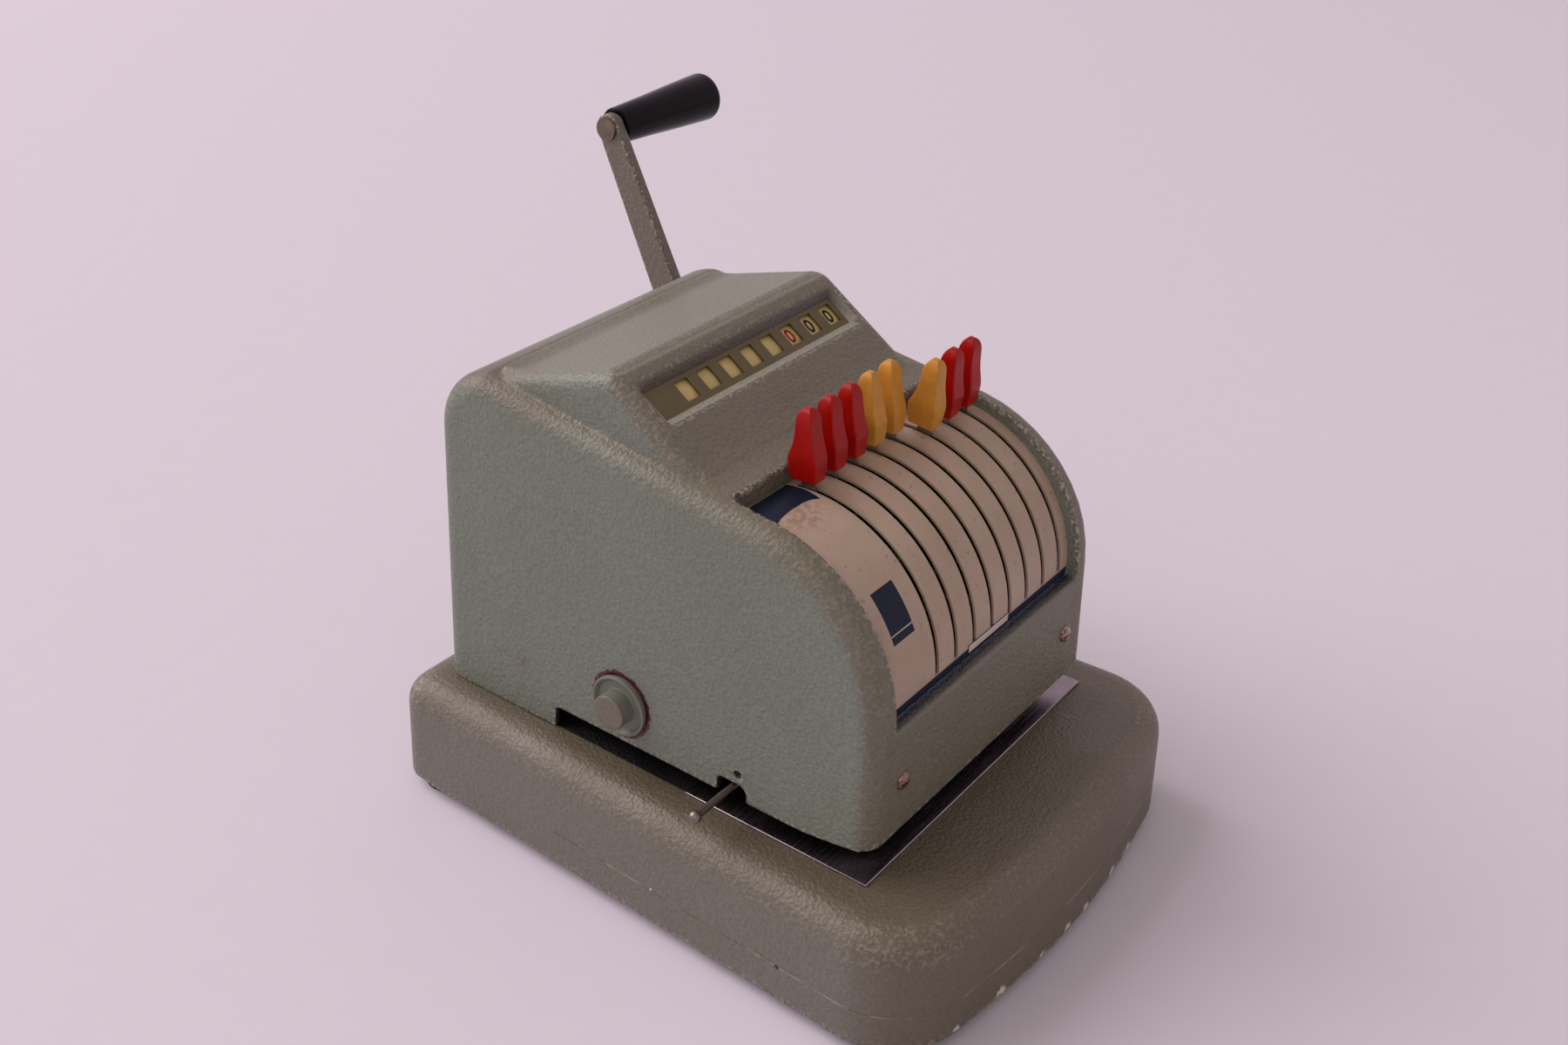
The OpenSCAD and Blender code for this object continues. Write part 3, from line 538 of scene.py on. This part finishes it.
def plastic(name, code, rough, dull=0.08, gloss=0.5):
    """Moulded plastic, polished by fingers: even colour, soft gloss and faint smears."""
    material, node, where = new_material(name)
    smears = node("noise", where, 160, 3.0, 0.6)
    return surface(material, {
        "Base Color": toned(node, code, smears, 0.84, 1.06),
        "Roughness": node("ramp", smears, stops=((0.3, rough), (0.75, rough + dull))),
        "Normal": node("bump", node("noise", where, 900, 2.0), 0.00004, 0.4),
        "IOR": 1.5, "Specular IOR Level": gloss})


def metal(name, light, dark, rough, grain=(1.0, 1.0, 1.0), scale=260, spots=None):
    """Bare machined or rolled metal: fine lines along the way it was worked, dull patches of age.

    The real lines, of 0.1 mm, are too fine to show, so they are drawn 0.5 mm wide or more."""
    material, node, where = new_material(name)
    drawn = node("ShaderNodeMapping", {"Vector": where, "Scale": grain})
    lines = node("noise", drawn, scale, 3.0, 0.6)
    patches = node("ramp", node("noise", where, 45, 3.0, 0.65), stops=((0.35, 0.0), (0.7, 1.0)))
    shade = toned(node, node("mix", patches, light, dark), lines, 0.86, 1.08)
    bare = 1.0
    if spots:
        rust = node("ramp", node("noise", where, 700, 3.0, 0.7), stops=((0.52, 0.0), (0.6, 1.0)))
        shade = layer(node, shade, spots, rust)
        bare = node("subtract", 1.0, rust)
    return surface(material, {
        "Base Color": shade, "Metallic": bare, "Normal": node("bump", lines, 0.00003, 0.5),
        "Roughness": node("ramp", lines, stops=((0.3, rough), (0.75, rough + 0.14)))})


def printed_steel(name, code, stain):
    """Cream enamel on rolled steel: satin, yellowed by use, with thumb grime and small scratches."""
    material, node, where = new_material(name)
    age = node("noise", where, 28, 4.0, 0.65)
    specks = node("noise", where, 380, 2.0, 0.6)
    shade = node("mix", node("ramp", age, stops=((0.35, 0.0), (0.75, 0.55))), code, stain)
    shade = layer(node, shade, "#5a4838", node("ramp", specks, stops=((0.66, 0.0), (0.72, 0.5))))
    # the rubbed patch at the plate's top left corner shows pink-grey metal under the print
    bare = node("ramp", specks, stops=((0.42, 0.0), (0.56, 1.0)))
    shade = layer(node, shade, "#8d6c66", near(node, where, (-48, -33, 172), 6, 8), bare, 0.6)
    return surface(material, {
        "Base Color": shade, "Roughness": node("ramp", age, stops=((0.3, 0.36), (0.7, 0.5))),
        "Normal": node("bump", specks, 0.00002, 0.4)})


def matt(name, code, rough, scale=500, depth=0.0001, metallic=0.0):
    """Rubber, felt or blacked iron: dull, with a close grain, drawn coarse enough to show."""
    material, node, where = new_material(name)
    grain = node("noise", where, scale, 3.0, 0.6)
    return surface(material, {
        "Base Color": toned(node, code, grain, 0.7, 1.2), "Metallic": metallic,
        "Roughness": node("ramp", grain, stops=((0.3, rough - 0.08), (0.7, rough))),
        "Normal": node("bump", grain, depth, 0.6)})


# --- pieces ---


def smooth_max(a, b, k):
    """The larger of two heights, with the corner between them filled by a soft blend."""
    h = np.clip(k - np.abs(a - b), 0, None) / k
    return np.maximum(a, b) + h * h * k / 4


def hood_blends(blend):
    """Moves the deck and hood faces so that the hood's foot runs softly into the deck."""

    def shape(co, normals):
        x, y, z = co[:, 0] / MM, co[:, 1] / MM - ARC.y, co[:, 2] / MM - ARC.z
        deck = 62.03 + 0.1317 * y
        front = 82.9 + 0.7002 * (y - 50)
        rear = RIDGE[1] - 0.2905 * (y - RIDGE[0])
        hood = np.minimum(front, rear)
        top = np.maximum(deck, hood)
        skin = (np.abs(z - top) < 0.6) & (normals[:, 2] > 0.3) & (y > 11.5)
        fade = np.clip((66.5 - np.abs(x)) / 5, 0, 1)
        fade = fade * fade * (3 - 2 * fade)
        k = np.where(y > 90, 5.5, blend / MM)
        lift = (smooth_max(deck, hood, k) - top) * fade * skin
        co[:, 2] += lift * MM
        return co

    return shape


def wrap_tree():
    """Bends flat marks round a drum along X and gives them a thickness."""
    node, ins, out = geometry_tree("Wrap on a drum", [
        ("Geometry", "Geometry", None), ("Radius", "Float", 0.05), ("Angle", "Float", 0.0),
        ("Centre", "Vector", (0.0, 0.0, 0.0)), ("Thickness", "Float", 0.00006),
        ("Material", "Material", None)])
    raised = node("GeometryNodeExtrudeMesh", {
        "Mesh": ins["Geometry"], "Offset Scale": ins["Thickness"], "Individual": False})
    closed = node("GeometryNodeJoinGeometry", [raised, node("GeometryNodeFlipFaces", ins["Geometry"])])
    whole = node("GeometryNodeMergeByDistance", {"Geometry": closed, "Distance": 1e-7})
    at = node("split", node("GeometryNodeInputPosition"))
    turn = node("subtract", ins["Angle"], node("divide", at["Y"], ins["Radius"]))
    reach = node("add", ins["Radius"], at["Z"])
    y = node("multiply", reach, node("cosine", turn))
    z = node("multiply", reach, node("sine", turn))
    bent = node("combine", at["X"], y, z)
    moved = node("ShaderNodeVectorMath", bent, ins["Centre"], operation="ADD")
    placed = node("GeometryNodeSetPosition", {"Geometry": whole, "Position": moved})
    return end_tree(node, placed, ins["Material"], out)


def flat_mark(name, outline, step=2.0):
    """A flat outline in millimetres as a mesh, cut into strips so that it can bend."""
    low, high = min(y for _, y in outline), max(y for _, y in outline)

    def cut(bm):
        bm.faces.new([bm.verts.new((x * MM, y * MM, 0)) for x, y in outline])
        for k in range(1, int((high - low) / step) + 1):
            bmesh.ops.bisect_plane(
                bm, geom=bm.verts[:] + bm.edges[:] + bm.faces[:],
                plane_co=(0, (low + k * step) * MM, 0), plane_no=(0, 1, 0))
        upwards(bm)

    return worked(bpy.data.meshes.new(name), cut)


def flat_digit(text, height):
    """One digit as a flat mesh, centred on its own origin."""
    curve = bpy.data.curves.new("digit", "FONT")
    curve.body, curve.align_x, curve.resolution_u = text, "CENTER", 6
    curve.offset = 0.034
    obj = new_object("digit", curve)
    mesh = evaluated(obj)
    bpy.data.objects.remove(obj)
    co = vectors(mesh)
    low, high = co.min(0), co.max(0)
    co = (co - (low + high) / 2) * (height / (high[1] - low[1]))
    co[:, 0] *= 0.94
    set_points(mesh, co)

    def close(bm):
        bmesh.ops.remove_doubles(bm, verts=bm.verts, dist=1e-7)
        upwards(bm)

    return worked(mesh, close)


def joined(name, objects):
    """One object from several, all with the same material."""
    mesh = worked(bpy.data.meshes.new(name), lambda bm: [bm.from_mesh(obj.data) for obj in objects])
    for obj in objects:
        bpy.data.objects.remove(obj)
    return new_object(name, mesh)


def knob_tree():
    """A moulded lever knob: a block whose front, back and sides follow their own curves."""
    node, ins, out = geometry_tree("Lever knob", [
        ("Height", "Float", 0.0283), ("Foot", "Float", 0.06), ("Lean", "Float", 0.0),
        ("Place", "Vector", (0.0, 0.0, 0.0)), ("Material", "Material", None)])
    block = node("GeometryNodeMeshCube", {
        "Size": (1.0, 1.0, 1.0), "Vertices X": 4, "Vertices Y": 4, "Vertices Z": 15})
    at = node("split", node("GeometryNodeInputPosition"))
    # up 0..1 over 14 spans; the first curve gives the share of the height,
    # the others the reach to the front, back and sides in units of 10 mm
    rise = node("ShaderNodeFloatCurve", {"Value": node("add", at["Z"], 0.5)}, curve=[
        (0, 0), (0.0714, 0.02), (0.143, 0.12), (0.214, 0.262), (0.286, 0.30), (0.357, 0.345), (0.5, 0.48),
        (0.643, 0.63), (0.786, 0.80), (0.857, 0.89), (0.929, 0.965), (1, 1)])
    front, back, half = [node("ShaderNodeFloatCurve", {"Value": rise}, curve=points) for points in (
        [(0, 0.46), (0.28, 0.545), (0.34, 0.53), (0.5, 0.42),
         (0.7, 0.33), (0.88, 0.29), (0.955, 0.22), (1, 0.08)],
        [(0, 0.62), (0.28, 0.73), (0.36, 0.66), (0.5, 0.50),
         (0.7, 0.41), (0.88, 0.36), (0.955, 0.28), (1, 0.14)],
        [(0, 0.335), (0.28, 0.40), (0.34, 0.40), (0.6, 0.36), (0.88, 0.32), (0.955, 0.25), (1, 0.10)])]
    ahead = node("less_than", at["Y"], 0.0)
    reach = node("ShaderNodeMix", {0: ahead, 2: back, 3: front}, data_type="FLOAT")
    sides = []
    for key, inset, span in (("X", 0.3, half), ("Y", 0.22, reach)):
        # the inner rows of points stand closer to the middle, by their inset
        outer = node("greater_than", node("absolute", at[key]), 0.3)
        share = node("add", node("multiply", outer, inset), 1 - inset)
        signed = node("multiply", node("sign", at[key]), share)
        sides.append(node("multiply", signed, node("multiply", span, 0.01)))
    z = node("add", node("multiply", rise, ins["Height"]), ins["Foot"])
    shaped = node("combine", *sides, z)
    block = node("GeometryNodeSetPosition", {"Geometry": block, "Position": shaped})
    block = node("GeometryNodeSubdivisionSurface", {"Mesh": block, "Level": 2})
    stood = node("GeometryNodeTransform", {
        "Geometry": block, "Translation": ins["Place"], "Rotation": node("combine", ins["Lean"])})
    return end_tree(node, stood, ins["Material"], out)


def foot_tree():
    """A turned rubber foot, set down at each point of the mesh that the tree is given."""
    node, ins, out = geometry_tree("Rubber feet", [
        ("Geometry", "Geometry", None), ("Profile", "Object", None), ("Material", "Material", None)])
    foot = node("GeometryNodeObjectInfo", {"Object": ins["Profile"]}, out="Geometry")
    spots = node("GeometryNodeMeshToPoints", {"Mesh": ins["Geometry"]})
    feet = node("GeometryNodeInstanceOnPoints", {"Points": spots, "Instance": foot})
    return end_tree(node, feet, ins["Material"], out)


def spring_tree():
    """The torsion spring: a round wire led along its coil and its straight leg."""
    node, ins, out = geometry_tree("Torsion spring", [
        ("Geometry", "Geometry", None), ("Wire", "Float", 0.0011), ("Material", "Material", None)])
    path = node("GeometryNodeMeshToCurve", {"Mesh": ins["Geometry"]})
    path = node("GeometryNodeSetCurveNormal", {"Curve": path}, mode="MINIMUM_TWIST")
    ring = node("GeometryNodeCurvePrimitiveCircle", {"Radius": ins["Wire"], "Resolution": 12})
    wire = node("GeometryNodeCurveToMesh", {"Curve": path, "Profile Curve": ring, "Fill Caps": True})
    return end_tree(node, node("GeometryNodeSetShadeSmooth", wire), ins["Material"], out)


# --- operators ---


def settings(context):
    return context.scene.check_writer_sizes, context.scene.check_writer_colours


class CHECKWRITER_OT_castings(bpy.types.Operator):
    """Housing and base: enamelled castings with soft edges"""

    bl_idname = "checkwriter.castings"
    bl_label = "Castings"

    def execute(self, context):
        sizes, colours = settings(context)
        # each enamel's warm colour is dirt on the upward faces and painted shade on the front faces
        body = enamel("Crinkle enamel, grey-green", colours.body, colours.body_warm, colours.grime,
                      sizes.paint_grain, housing_marks(colours))
        base = enamel("Crinkle enamel, base", colours.base, "#635847", colours.grime,
                      sizes.paint_grain, base_marks)
        housing = cast("housing", "housing_shell", sizes.cast_grain, 3, hood_blends(sizes.hood_blend))
        dress(housing, body, "body_paint", "base", "housing")
        casting = cast("base_casting", "base_shell", sizes.cast_grain * 1.25, 10)
        dress(casting, base, "base_paint", "base", "base_casting")
        return {"FINISHED"}


class CHECKWRITER_OT_sill(bpy.types.Operator):
    """Bevelled sill round the number window"""

    bl_idname = "checkwriter.sill"
    bl_label = "Window sill"

    def execute(self, context):
        sizes, colours = settings(context)
        along = Vector((0, cos(radians(HOOD_SLOPE)), sin(radians(HOOD_SLOPE))))
        out = Vector((0, -along.z, along.y))
        middle = ARC + Vector((1, *RIDGE)) - along * WINDOW_DOWN
        # half width and half height of the frame at each depth, from the lip inwards
        loops = [(60.0, 9.8, -0.55), (59.6, 9.4, -0.75), (56.8, 6.6, -2.95), (56.75, 6.55, -3.1),
                 (60.3, 10.1, -3.1), (60.3, 10.1, -0.75)]
        points, faces = [], []
        for half_w, half_h, depth in loops:
            for u, v in ((-1, -1), (1, -1), (1, 1), (-1, 1)):
                points.append(middle + Vector((u * half_w, 0, 0)) + along * (v * half_h) + out * depth)
        for k in range(len(loops)):
            n = (k + 1) % len(loops)
            for c in range(4):
                d = (c + 1) % 4
                faces.append((4 * k + c, 4 * k + d, 4 * n + d, 4 * n + c))
        sill = new_object("window_sill", worked(mesh_from("window_sill", points, faces), outwards))
        # the upper bevel lies in shade, and so does the inside
        set_value(sill.data, "shaded", np.array([0, 0, 0.5, 0.5, 0, 0, 0.8, 0.8] + [0, 0, 1, 1] * 4))

        def shaded(node, where, shade, edge):
            return layer(node, shade, "#3c362e", node("attribute", attribute_name="shaded"))

        # painted light: the sill's enamel is a paler copy of the body's, painted as if lit; the darker layer
        # is painted shade
        lit_sill_paint = enamel("Clean enamel in the window", "#a09c90", "#948c7e", colours.grime,
                       sizes.paint_grain, shaded)
        dress(sill, lit_sill_paint, "body_paint", "base")
        return {"FINISHED"}


class CHECKWRITER_OT_scale(bpy.types.Operator):
    """Scale plate with its printed marks"""

    bl_idname = "checkwriter.scale"
    bl_label = "Scale plate"

    def execute(self, context):
        colours = settings(context)[1]
        paint_node(printed_steel("Cream enamel on steel", colours.scale, "#9b7f66"), "scale_plate")
        navy = plastic("Navy printing ink", colours.navy, 0.45, gloss=0.2)
        pale = plastic("Pale printing ink", "#d8c8bd", 0.45)

        def box(x0, a0, x1, a1):
            return [(x0, a0), (x1, a0), (x1, a1), (x0, a1)]

        # each mark's outline as x and degrees round the drum, its ink, and its height over the plate
        band = [(-63.9, -3.18), (63.9, -3.18), (63.9, 0.35), (19.2, 0.35),
                (19.2, 1.7), (-10.4, 1.7), (-10.4, 0.35), (-63.9, 0.35)]
        corner = [(-63.9, 100.8), (-63.9, 83.6), (-59.5, 85.2), (-55.5, 86.6), (-50, 87.3), (-42, 87.2),
                  (-38.4, 86.4), (-35.4, 84.4), (-34.6, 87.5), (-33.9, 92), (-33.6, 100.8)]
        marks = {
            "navy_band": (band, navy, 0.0), "pale_tab": (box(-9.7, -1.9, 18.5, 1.2), pale, 0.03),
            "navy_corner": (corner, navy, 0.0), "navy_block": (box(-54.2, 23.8, -41.3, 44), navy, 0.0),
            "pale_rule": (box(-54.2, 26.9, -41.3, 27.3), pale, 0.03),
        }
        wrap, along = wrap_tree(), radians(1) * SCALE_R
        for name, (outline, ink, lift) in marks.items():
            flat = flat_mark(name, [(x, a * along) for x, a in outline])
            mark = grown(name, wrap, {
                "Radius": (SCALE_R + lift) * MM, "Angle": pi, "Centre": ARC * MM,
                "Thickness": 0.04 * MM, "Material": ink}, flat)
            dress(mark, ink, "scale_paint", "base")
        return {"FINISHED"}


class CHECKWRITER_OT_dials(bpy.types.Operator):
    """Window mask, and eight dials with their digits"""

    bl_idname = "checkwriter.dials"
    bl_label = "Window and dials"

    def execute(self, context):
        sizes, colours = settings(context)
        paint_node(plastic("Olive enamel", colours.mask, 0.42), "window_mask")
        ivory = plastic("Ivory celluloid", colours.ivory, 0.45)
        black = plastic("Black printing ink", "#231a14", 0.5)
        red = plastic("Red printing ink", "#b02a12", 0.5)
        wrap = wrap_tree()
        for k in range(8):
            paint_node(ivory, f"dial_{k + 1}")
            ink = red if k in YELLOW else black
            digits = []
            for n in range(10):
                angle = 125 - 360 / 11 * (n + 1 - SHOWN[k])  # 11 places: blank and ten digits
                digits.append(grown(f"digit_{k}_{n}", wrap, {
                    "Radius": (DIAL_R - 0.02) * MM, "Angle": radians(angle),
                    "Centre": (ARC + DIAL_AT + Vector((LEVER_X[k] + CELL_DX + 0.2, 0, 0))) * MM,
                    "Thickness": 0.06 * MM, "Material": ink}, flat_digit(str(n), sizes.digit_height)))
            dress(joined(f"dial_digits_{k + 1}", digits), ink, "ivory", f"dial_{k + 1}")
        return {"FINISHED"}


class CHECKWRITER_OT_knobs(bpy.types.Operator):
    """Eight moulded lever knobs, each on its lever"""

    bl_idname = "checkwriter.knobs"
    bl_label = "Lever knobs"

    def execute(self, context):
        sizes, colours = settings(context)
        red = plastic("Red urea plastic", colours.red, 0.28, gloss=0.2)
        yellow = plastic("Yellow urea plastic", colours.yellow, 0.3, gloss=0.25)
        tree = knob_tree()
        for k in range(8):
            paint, slot = (yellow, "yellow_plastic") if k in YELLOW else (red, "red_plastic")
            knob = grown(f"lever_knob_{k + 1}", tree, {
                "Height": sizes.knob_height, "Foot": 60 * MM, "Lean": radians(SHOWN[k] * NOTCH - 2),
                "Place": (ARC + Vector((LEVER_X[k], 0, 0))) * MM, "Material": paint})
            smooth_shading(knob)
            dress(knob, paint, slot, f"lever_{k + 1}", f"knob_{k + 1}")
        return {"FINISHED"}


class CHECKWRITER_OT_side(bpy.types.Operator):
    """Ink roller cap, pin lever and front screws"""

    bl_idname = "checkwriter.side"
    bl_label = "Ink cap, pin lever and screws"

    def execute(self, context):
        colours = settings(context)[1]
        low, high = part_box("ink_roller_cap")
        out, far = low.x / MM, high.x / MM
        rim, face = out + 5.3, out + 7.0
        profile = [(out, 0), (out, 5.2)] + rounded((out, 5), (out, 7.4), (out + 4, 7.4), 1.0)
        profile += rounded((out + 3, 7.4), (face, 7.0), (face, 9), 0.8)
        profile += [(out + 6.9, 10.6)] + rounded((out + 6.9, 10.9), (rim, 11.9), (rim, 12.6), 0.35, 3)
        profile += rounded((rim, 12.2), (rim, 12.9), (rim + 1.5, 12.9), 0.45, 4)
        profile += [(face, 12.9), (face, 12.0), (out + 15.5, 12.0), (out + 15.6, 3.0), (far, 3.0), (far, 0)]
        cap = turned("ink_cap_turned", profile, INK_AT)
        smooth_shading(cap, 32)
        # enamel as on the body, rubbed through to a brown undercoat on the knob's end
        material, node, where = new_material("Worn enamel on zinc")
        crumbs = node("noise", where, 620, 3.0, 0.6)
        flecks = node("ramp", crumbs, stops=((0.35, 0.0), (0.6, 0.8)))
        warm_mask = node("ramp", crumbs, stops=((0.3, 0.95), (0.62, 0.35)))
        knob_end = node("less_than", node("split", where)["X"], (out + 1.2) * MM)
        shade = node("mix", flecks, colours.body, "#76736a")
        surface(material, {
            "Base Color": layer(node, shade, "#675848", knob_end, warm_mask),
            "Roughness": node("ramp", crumbs, stops=((0.3, 0.38), (0.7, 0.55))),
            "Normal": node("bump", crumbs, 0.0002, 0.5)})
        dress(cap, material, "body_paint", "ink_cap", "ink_roller_cap")
        paint_node(metal("Nickelled steel wire", "#9c9089", "#70655c", 0.26), "pin_lever")
        brass = metal("Lacquered brass, rusting", "#b59c8c", "#86695a", 0.3, spots="#4a2418")
        paint_node(brass, "front_screws")
        return {"FINISHED"}


class CHECKWRITER_OT_handle(bpy.types.Operator):
    """Handle arm, its rivet and the black grip"""

    bl_idname = "checkwriter.handle"
    bl_label = "Handle"

    def execute(self, context):
        sizes, colours = settings(context)
        # its warm colour is dirt on the upward faces and painted shade on the front faces
        paint = enamel("Crinkle enamel, handle", "#6e6458", "#655a4b", colours.grime, sizes.paint_grain)
        arm = cast("handle_arm", "handle_bar", 0.55 * MM, 4)
        dress(arm, paint, "body_paint", "handle", "handle_arm")
        low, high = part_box("handle_grip")
        near_x, far_x, end_r = low.x / MM, high.x / MM, (high.y - low.y) / 2 / MM
        at = ((low.y + high.y) / 2 / MM - ARC.y, (low.z + high.z) / 2 / MM - ARC.z)
        bore = 4.05  # radius of the blind hole for the pin
        profile = [(near_x + 59, 0), (near_x + 59, bore), (near_x, bore)]
        profile += rounded((near_x, 5), (near_x, 8.1), (near_x + 3, 8.2), 0.9)
        profile += [(near_x + 20, 8.95), (near_x + 40, 10.1)]
        profile += rounded((near_x + 50, end_r - 0.6), (far_x, end_r), (far_x, 4), 3.6, 8)
        grip = turned("grip_turned", profile + [(far_x, 4), (far_x, 0)], at)
        smooth_shading(grip, 40)
        phenolic = plastic("Black phenolic", "#050405", 0.12, 0.06, 0.14)
        dress(grip, phenolic, "black_plastic", "grip", "handle_grip")
        paint_node(metal("Painted rivet", "#8d8272", "#6b6152", 0.4), "grip_pin")
        return {"FINISHED"}


class CHECKWRITER_OT_feet(bpy.types.Operator):
    """Four rubber feet"""

    bl_idname = "checkwriter.feet"
    bl_label = "Feet"

    def execute(self, context):
        rubber = matt("Black rubber", "#1b1a19", 0.75, 900)
        # radius and height: the foot up to the bottom plate, then the stud that holds it in the plate
        outline = [(0, 0), (6.2, 0), (7.4, 0.35), (8.3, 1.1), (8.75, 2.4), (8.95, 4.94), (2.0, 4.94),
                   (2.0, 6.3), (3.1, 6.35), (2.0, 8.1), (0, 8.1)]
        profile = turned("foot_profile", [(z, r) for r, z in outline], (-ARC.y, -ARC.z), 48)
        profile.data.transform(Matrix.Rotation(-pi / 2, 4, "Y"))
        smooth_shading(profile, 35)
        spots = mesh_from("foot_spots", [(-86, 121, 0), (86, 121, 0), (-91, -92, 0), (91, -92, 0)], [])
        feet = grown("turned_feet", foot_tree(), {"Profile": profile, "Material": rubber}, spots)
        bpy.data.objects.remove(profile)
        dress(feet, rubber, "foot_rubber", "base", "rubber_feet")
        return {"FINISHED"}


class CHECKWRITER_OT_inside(bpy.types.Operator):
    """Check table, works and bottom"""

    bl_idname = "checkwriter.inside"
    bl_label = "Table and works"

    def execute(self, context):
        sheet = metal("Polished steel sheet", "#a09699", "#877d81", 0.2, (1.0, 30.0, 30.0), 40)
        table = merged_copy("check_table", "table_plate")
        modify(table, "BEVEL", width=0.4 * MM, segments=3, limit_method="ANGLE")
        plain_mesh(table)
        smooth_shading(table, 40)
        dress(table, sheet, "table_steel", "base", "check_table")
        steel = metal("Ground steel", "#a2a09c", "#77726a", 0.28, (1.0, 8.0, 8.0))
        paint_node(steel, "frame_left", "frame_right", "tie_rods", "front_bar", "lever_shaft",
                   "dial_shafts", "handle_shaft", "feed_roller", "platen_arm",
                   *[f"lever_{k}" for k in range(1, 9)])
        brass = metal("Old brass", "#a5834e", "#6f5a38", 0.32)
        paint_node(brass, "detent_comb", *[f"idler_{k}" for k in range(1, 9)])
        paint_node(metal("Zinc plate", "#a9a8a2", "#8a877f", 0.35), "base_screws")
        paint_node(metal("Bearing bronze", "#96805e", "#6d5c46", 0.34), "handle_bush")
        paint_node(matt("Blacked steel", "#2c2b29", 0.55, 300, metallic=0.6), "bottom_plate")
        paint_node(matt("Pad rubber", "#222020", 0.8), "platen_pad")
        paint_node(matt("Inked felt", "#2e0c1c", 0.9, 1400, 0.0003), "ink_roller")
        wire = metal("Blued spring wire", "#6e7072", "#4a4a4c", 0.3)
        turns, pitch, radius, first, leg, steps = 5.5, 4.2, 10.6, radians(160), 27.0, 264
        path = []
        for k in range(steps + 1):
            t = k / steps
            a = first + 2 * pi * turns * t
            path.append((-34 + pitch * turns * t, radius * cos(a), radius * sin(a)))
        x, y, z = path[0]
        path.insert(0, (x, y + leg * sin(first), z - leg * cos(first)))
        points = [(x, y + ARC.y + SHAFT_AT[0], z + ARC.z + SHAFT_AT[1]) for x, y, z in path]
        line = mesh_from("spring_path", points, [], [(i, i + 1) for i in range(len(points) - 1)])
        spring = grown("coiled_spring", spring_tree(), {
            "Wire": settings(context)[0].wire * 0.985, "Material": wire}, line)
        dress(spring, wire, "spring_steel", "base", "return_spring")
        return {"FINISHED"}


class CHECKWRITER_OT_stage(bpy.types.Operator):
    """Camera, floor and soft lamps"""

    bl_idname = "checkwriter.stage"
    bl_label = "Stage"

    def execute(self, context):
        scene, colours = context.scene, settings(context)[1]
        camera = bpy.data.cameras.new("camera")
        camera.sensor_fit, camera.sensor_width, camera.lens = "HORIZONTAL", 36, 38.772
        camera.clip_start, camera.clip_end = 0.01, 50
        scene.camera = new_object("camera", camera)
        scene.camera.location = (-0.46392, -0.33090, 0.46858)
        scene.camera.rotation_euler = [radians(a) for a in (59.6208, -1.3080, -53.1370)]
        floor = new_object("floor", worked(bpy.data.meshes.new("floor"), lambda bm: bmesh.ops.create_grid(
            bm, x_segments=1, y_segments=1, size=6)))
        material, node, where = new_material("Matt paper")
        fibre = node("noise", where, 60, 3.0, 0.6)
        floor.data.materials.append(surface(material, {
            "Base Color": node("mix", fibre, colours.floor, "#e6dcf0"),
            "Roughness": 0.85, "Specular IOR Level": 0.2}))
        # the camera and mirrors see the backdrop, and all else is lit by the room
        scene.world = bpy.data.worlds.new("pale room")
        node = emptied(scene.world)
        rays = node("ShaderNodeLightPath", out=None)
        seen = node("add", rays["Is Camera Ray"], rays["Is Transmission Ray"])
        seen = node("add", seen, rays["Is Glossy Ray"], use_clamp=True)
        room = node("ShaderNodeBackground", "#f3ecdf", 0.44)
        backdrop = node("ShaderNodeBackground", colours.wall, 1.0)
        both = node("ShaderNodeMixShader", seen, room, backdrop)
        node("ShaderNodeOutputWorld", {"Surface": both}, out=None)
        for name, place, size, power in (
            ("window", (-2.8, 7.0, 6.1), 8.4, 745.0), ("fill", (-1.4, -0.9, 1.2), 1.5, 3.0),
        ):
            lamp = bpy.data.lights.new(name, "AREA")
            lamp.shape, lamp.size, lamp.energy = "SQUARE", size, power
            lamp.color = linear("#fff6f2")[:3]
            obj = new_object(name, lamp)
            obj.location = place
            obj.rotation_euler = (Vector((0, 0, 0.1)) - Vector(place)).to_track_quat("-Z", "Y").to_euler()
        scene.view_settings.view_transform = "Standard"
        return {"FINISHED"}


class CHECKWRITER_PT_panel(bpy.types.Panel):
    """Buttons for the pieces, in the 3D view's sidebar"""

    bl_label = "Check writer"
    bl_space_type = "VIEW_3D"
    bl_region_type = "UI"
    bl_category = "Check writer"

    def draw(self, context):
        for group in settings(context):
            for name in group.__annotations__:
                self.layout.prop(group, name)
        for operator in OPERATORS:
            self.layout.operator(operator.bl_idname)


OPERATORS = (
    CHECKWRITER_OT_castings, CHECKWRITER_OT_sill, CHECKWRITER_OT_scale, CHECKWRITER_OT_dials,
    CHECKWRITER_OT_knobs, CHECKWRITER_OT_side, CHECKWRITER_OT_handle, CHECKWRITER_OT_feet,
    CHECKWRITER_OT_inside, CHECKWRITER_OT_stage,
)
CLASSES = (CheckWriterSizes, CheckWriterColours, *OPERATORS, CHECKWRITER_PT_panel)


def register():
    for one in CLASSES:
        bpy.utils.register_class(one)
    bpy.types.Scene.check_writer_sizes = bpy.props.PointerProperty(type=CheckWriterSizes)
    bpy.types.Scene.check_writer_colours = bpy.props.PointerProperty(type=CheckWriterColours)


def unregister():
    del bpy.types.Scene.check_writer_colours
    del bpy.types.Scene.check_writer_sizes
    for one in reversed(CLASSES):
        bpy.utils.unregister_class(one)


def main():
    register()
    for operator in OPERATORS:
        area, name = operator.bl_idname.split(".")
        getattr(getattr(bpy.ops, area), name)()


if __name__ == "__main__":
    main()
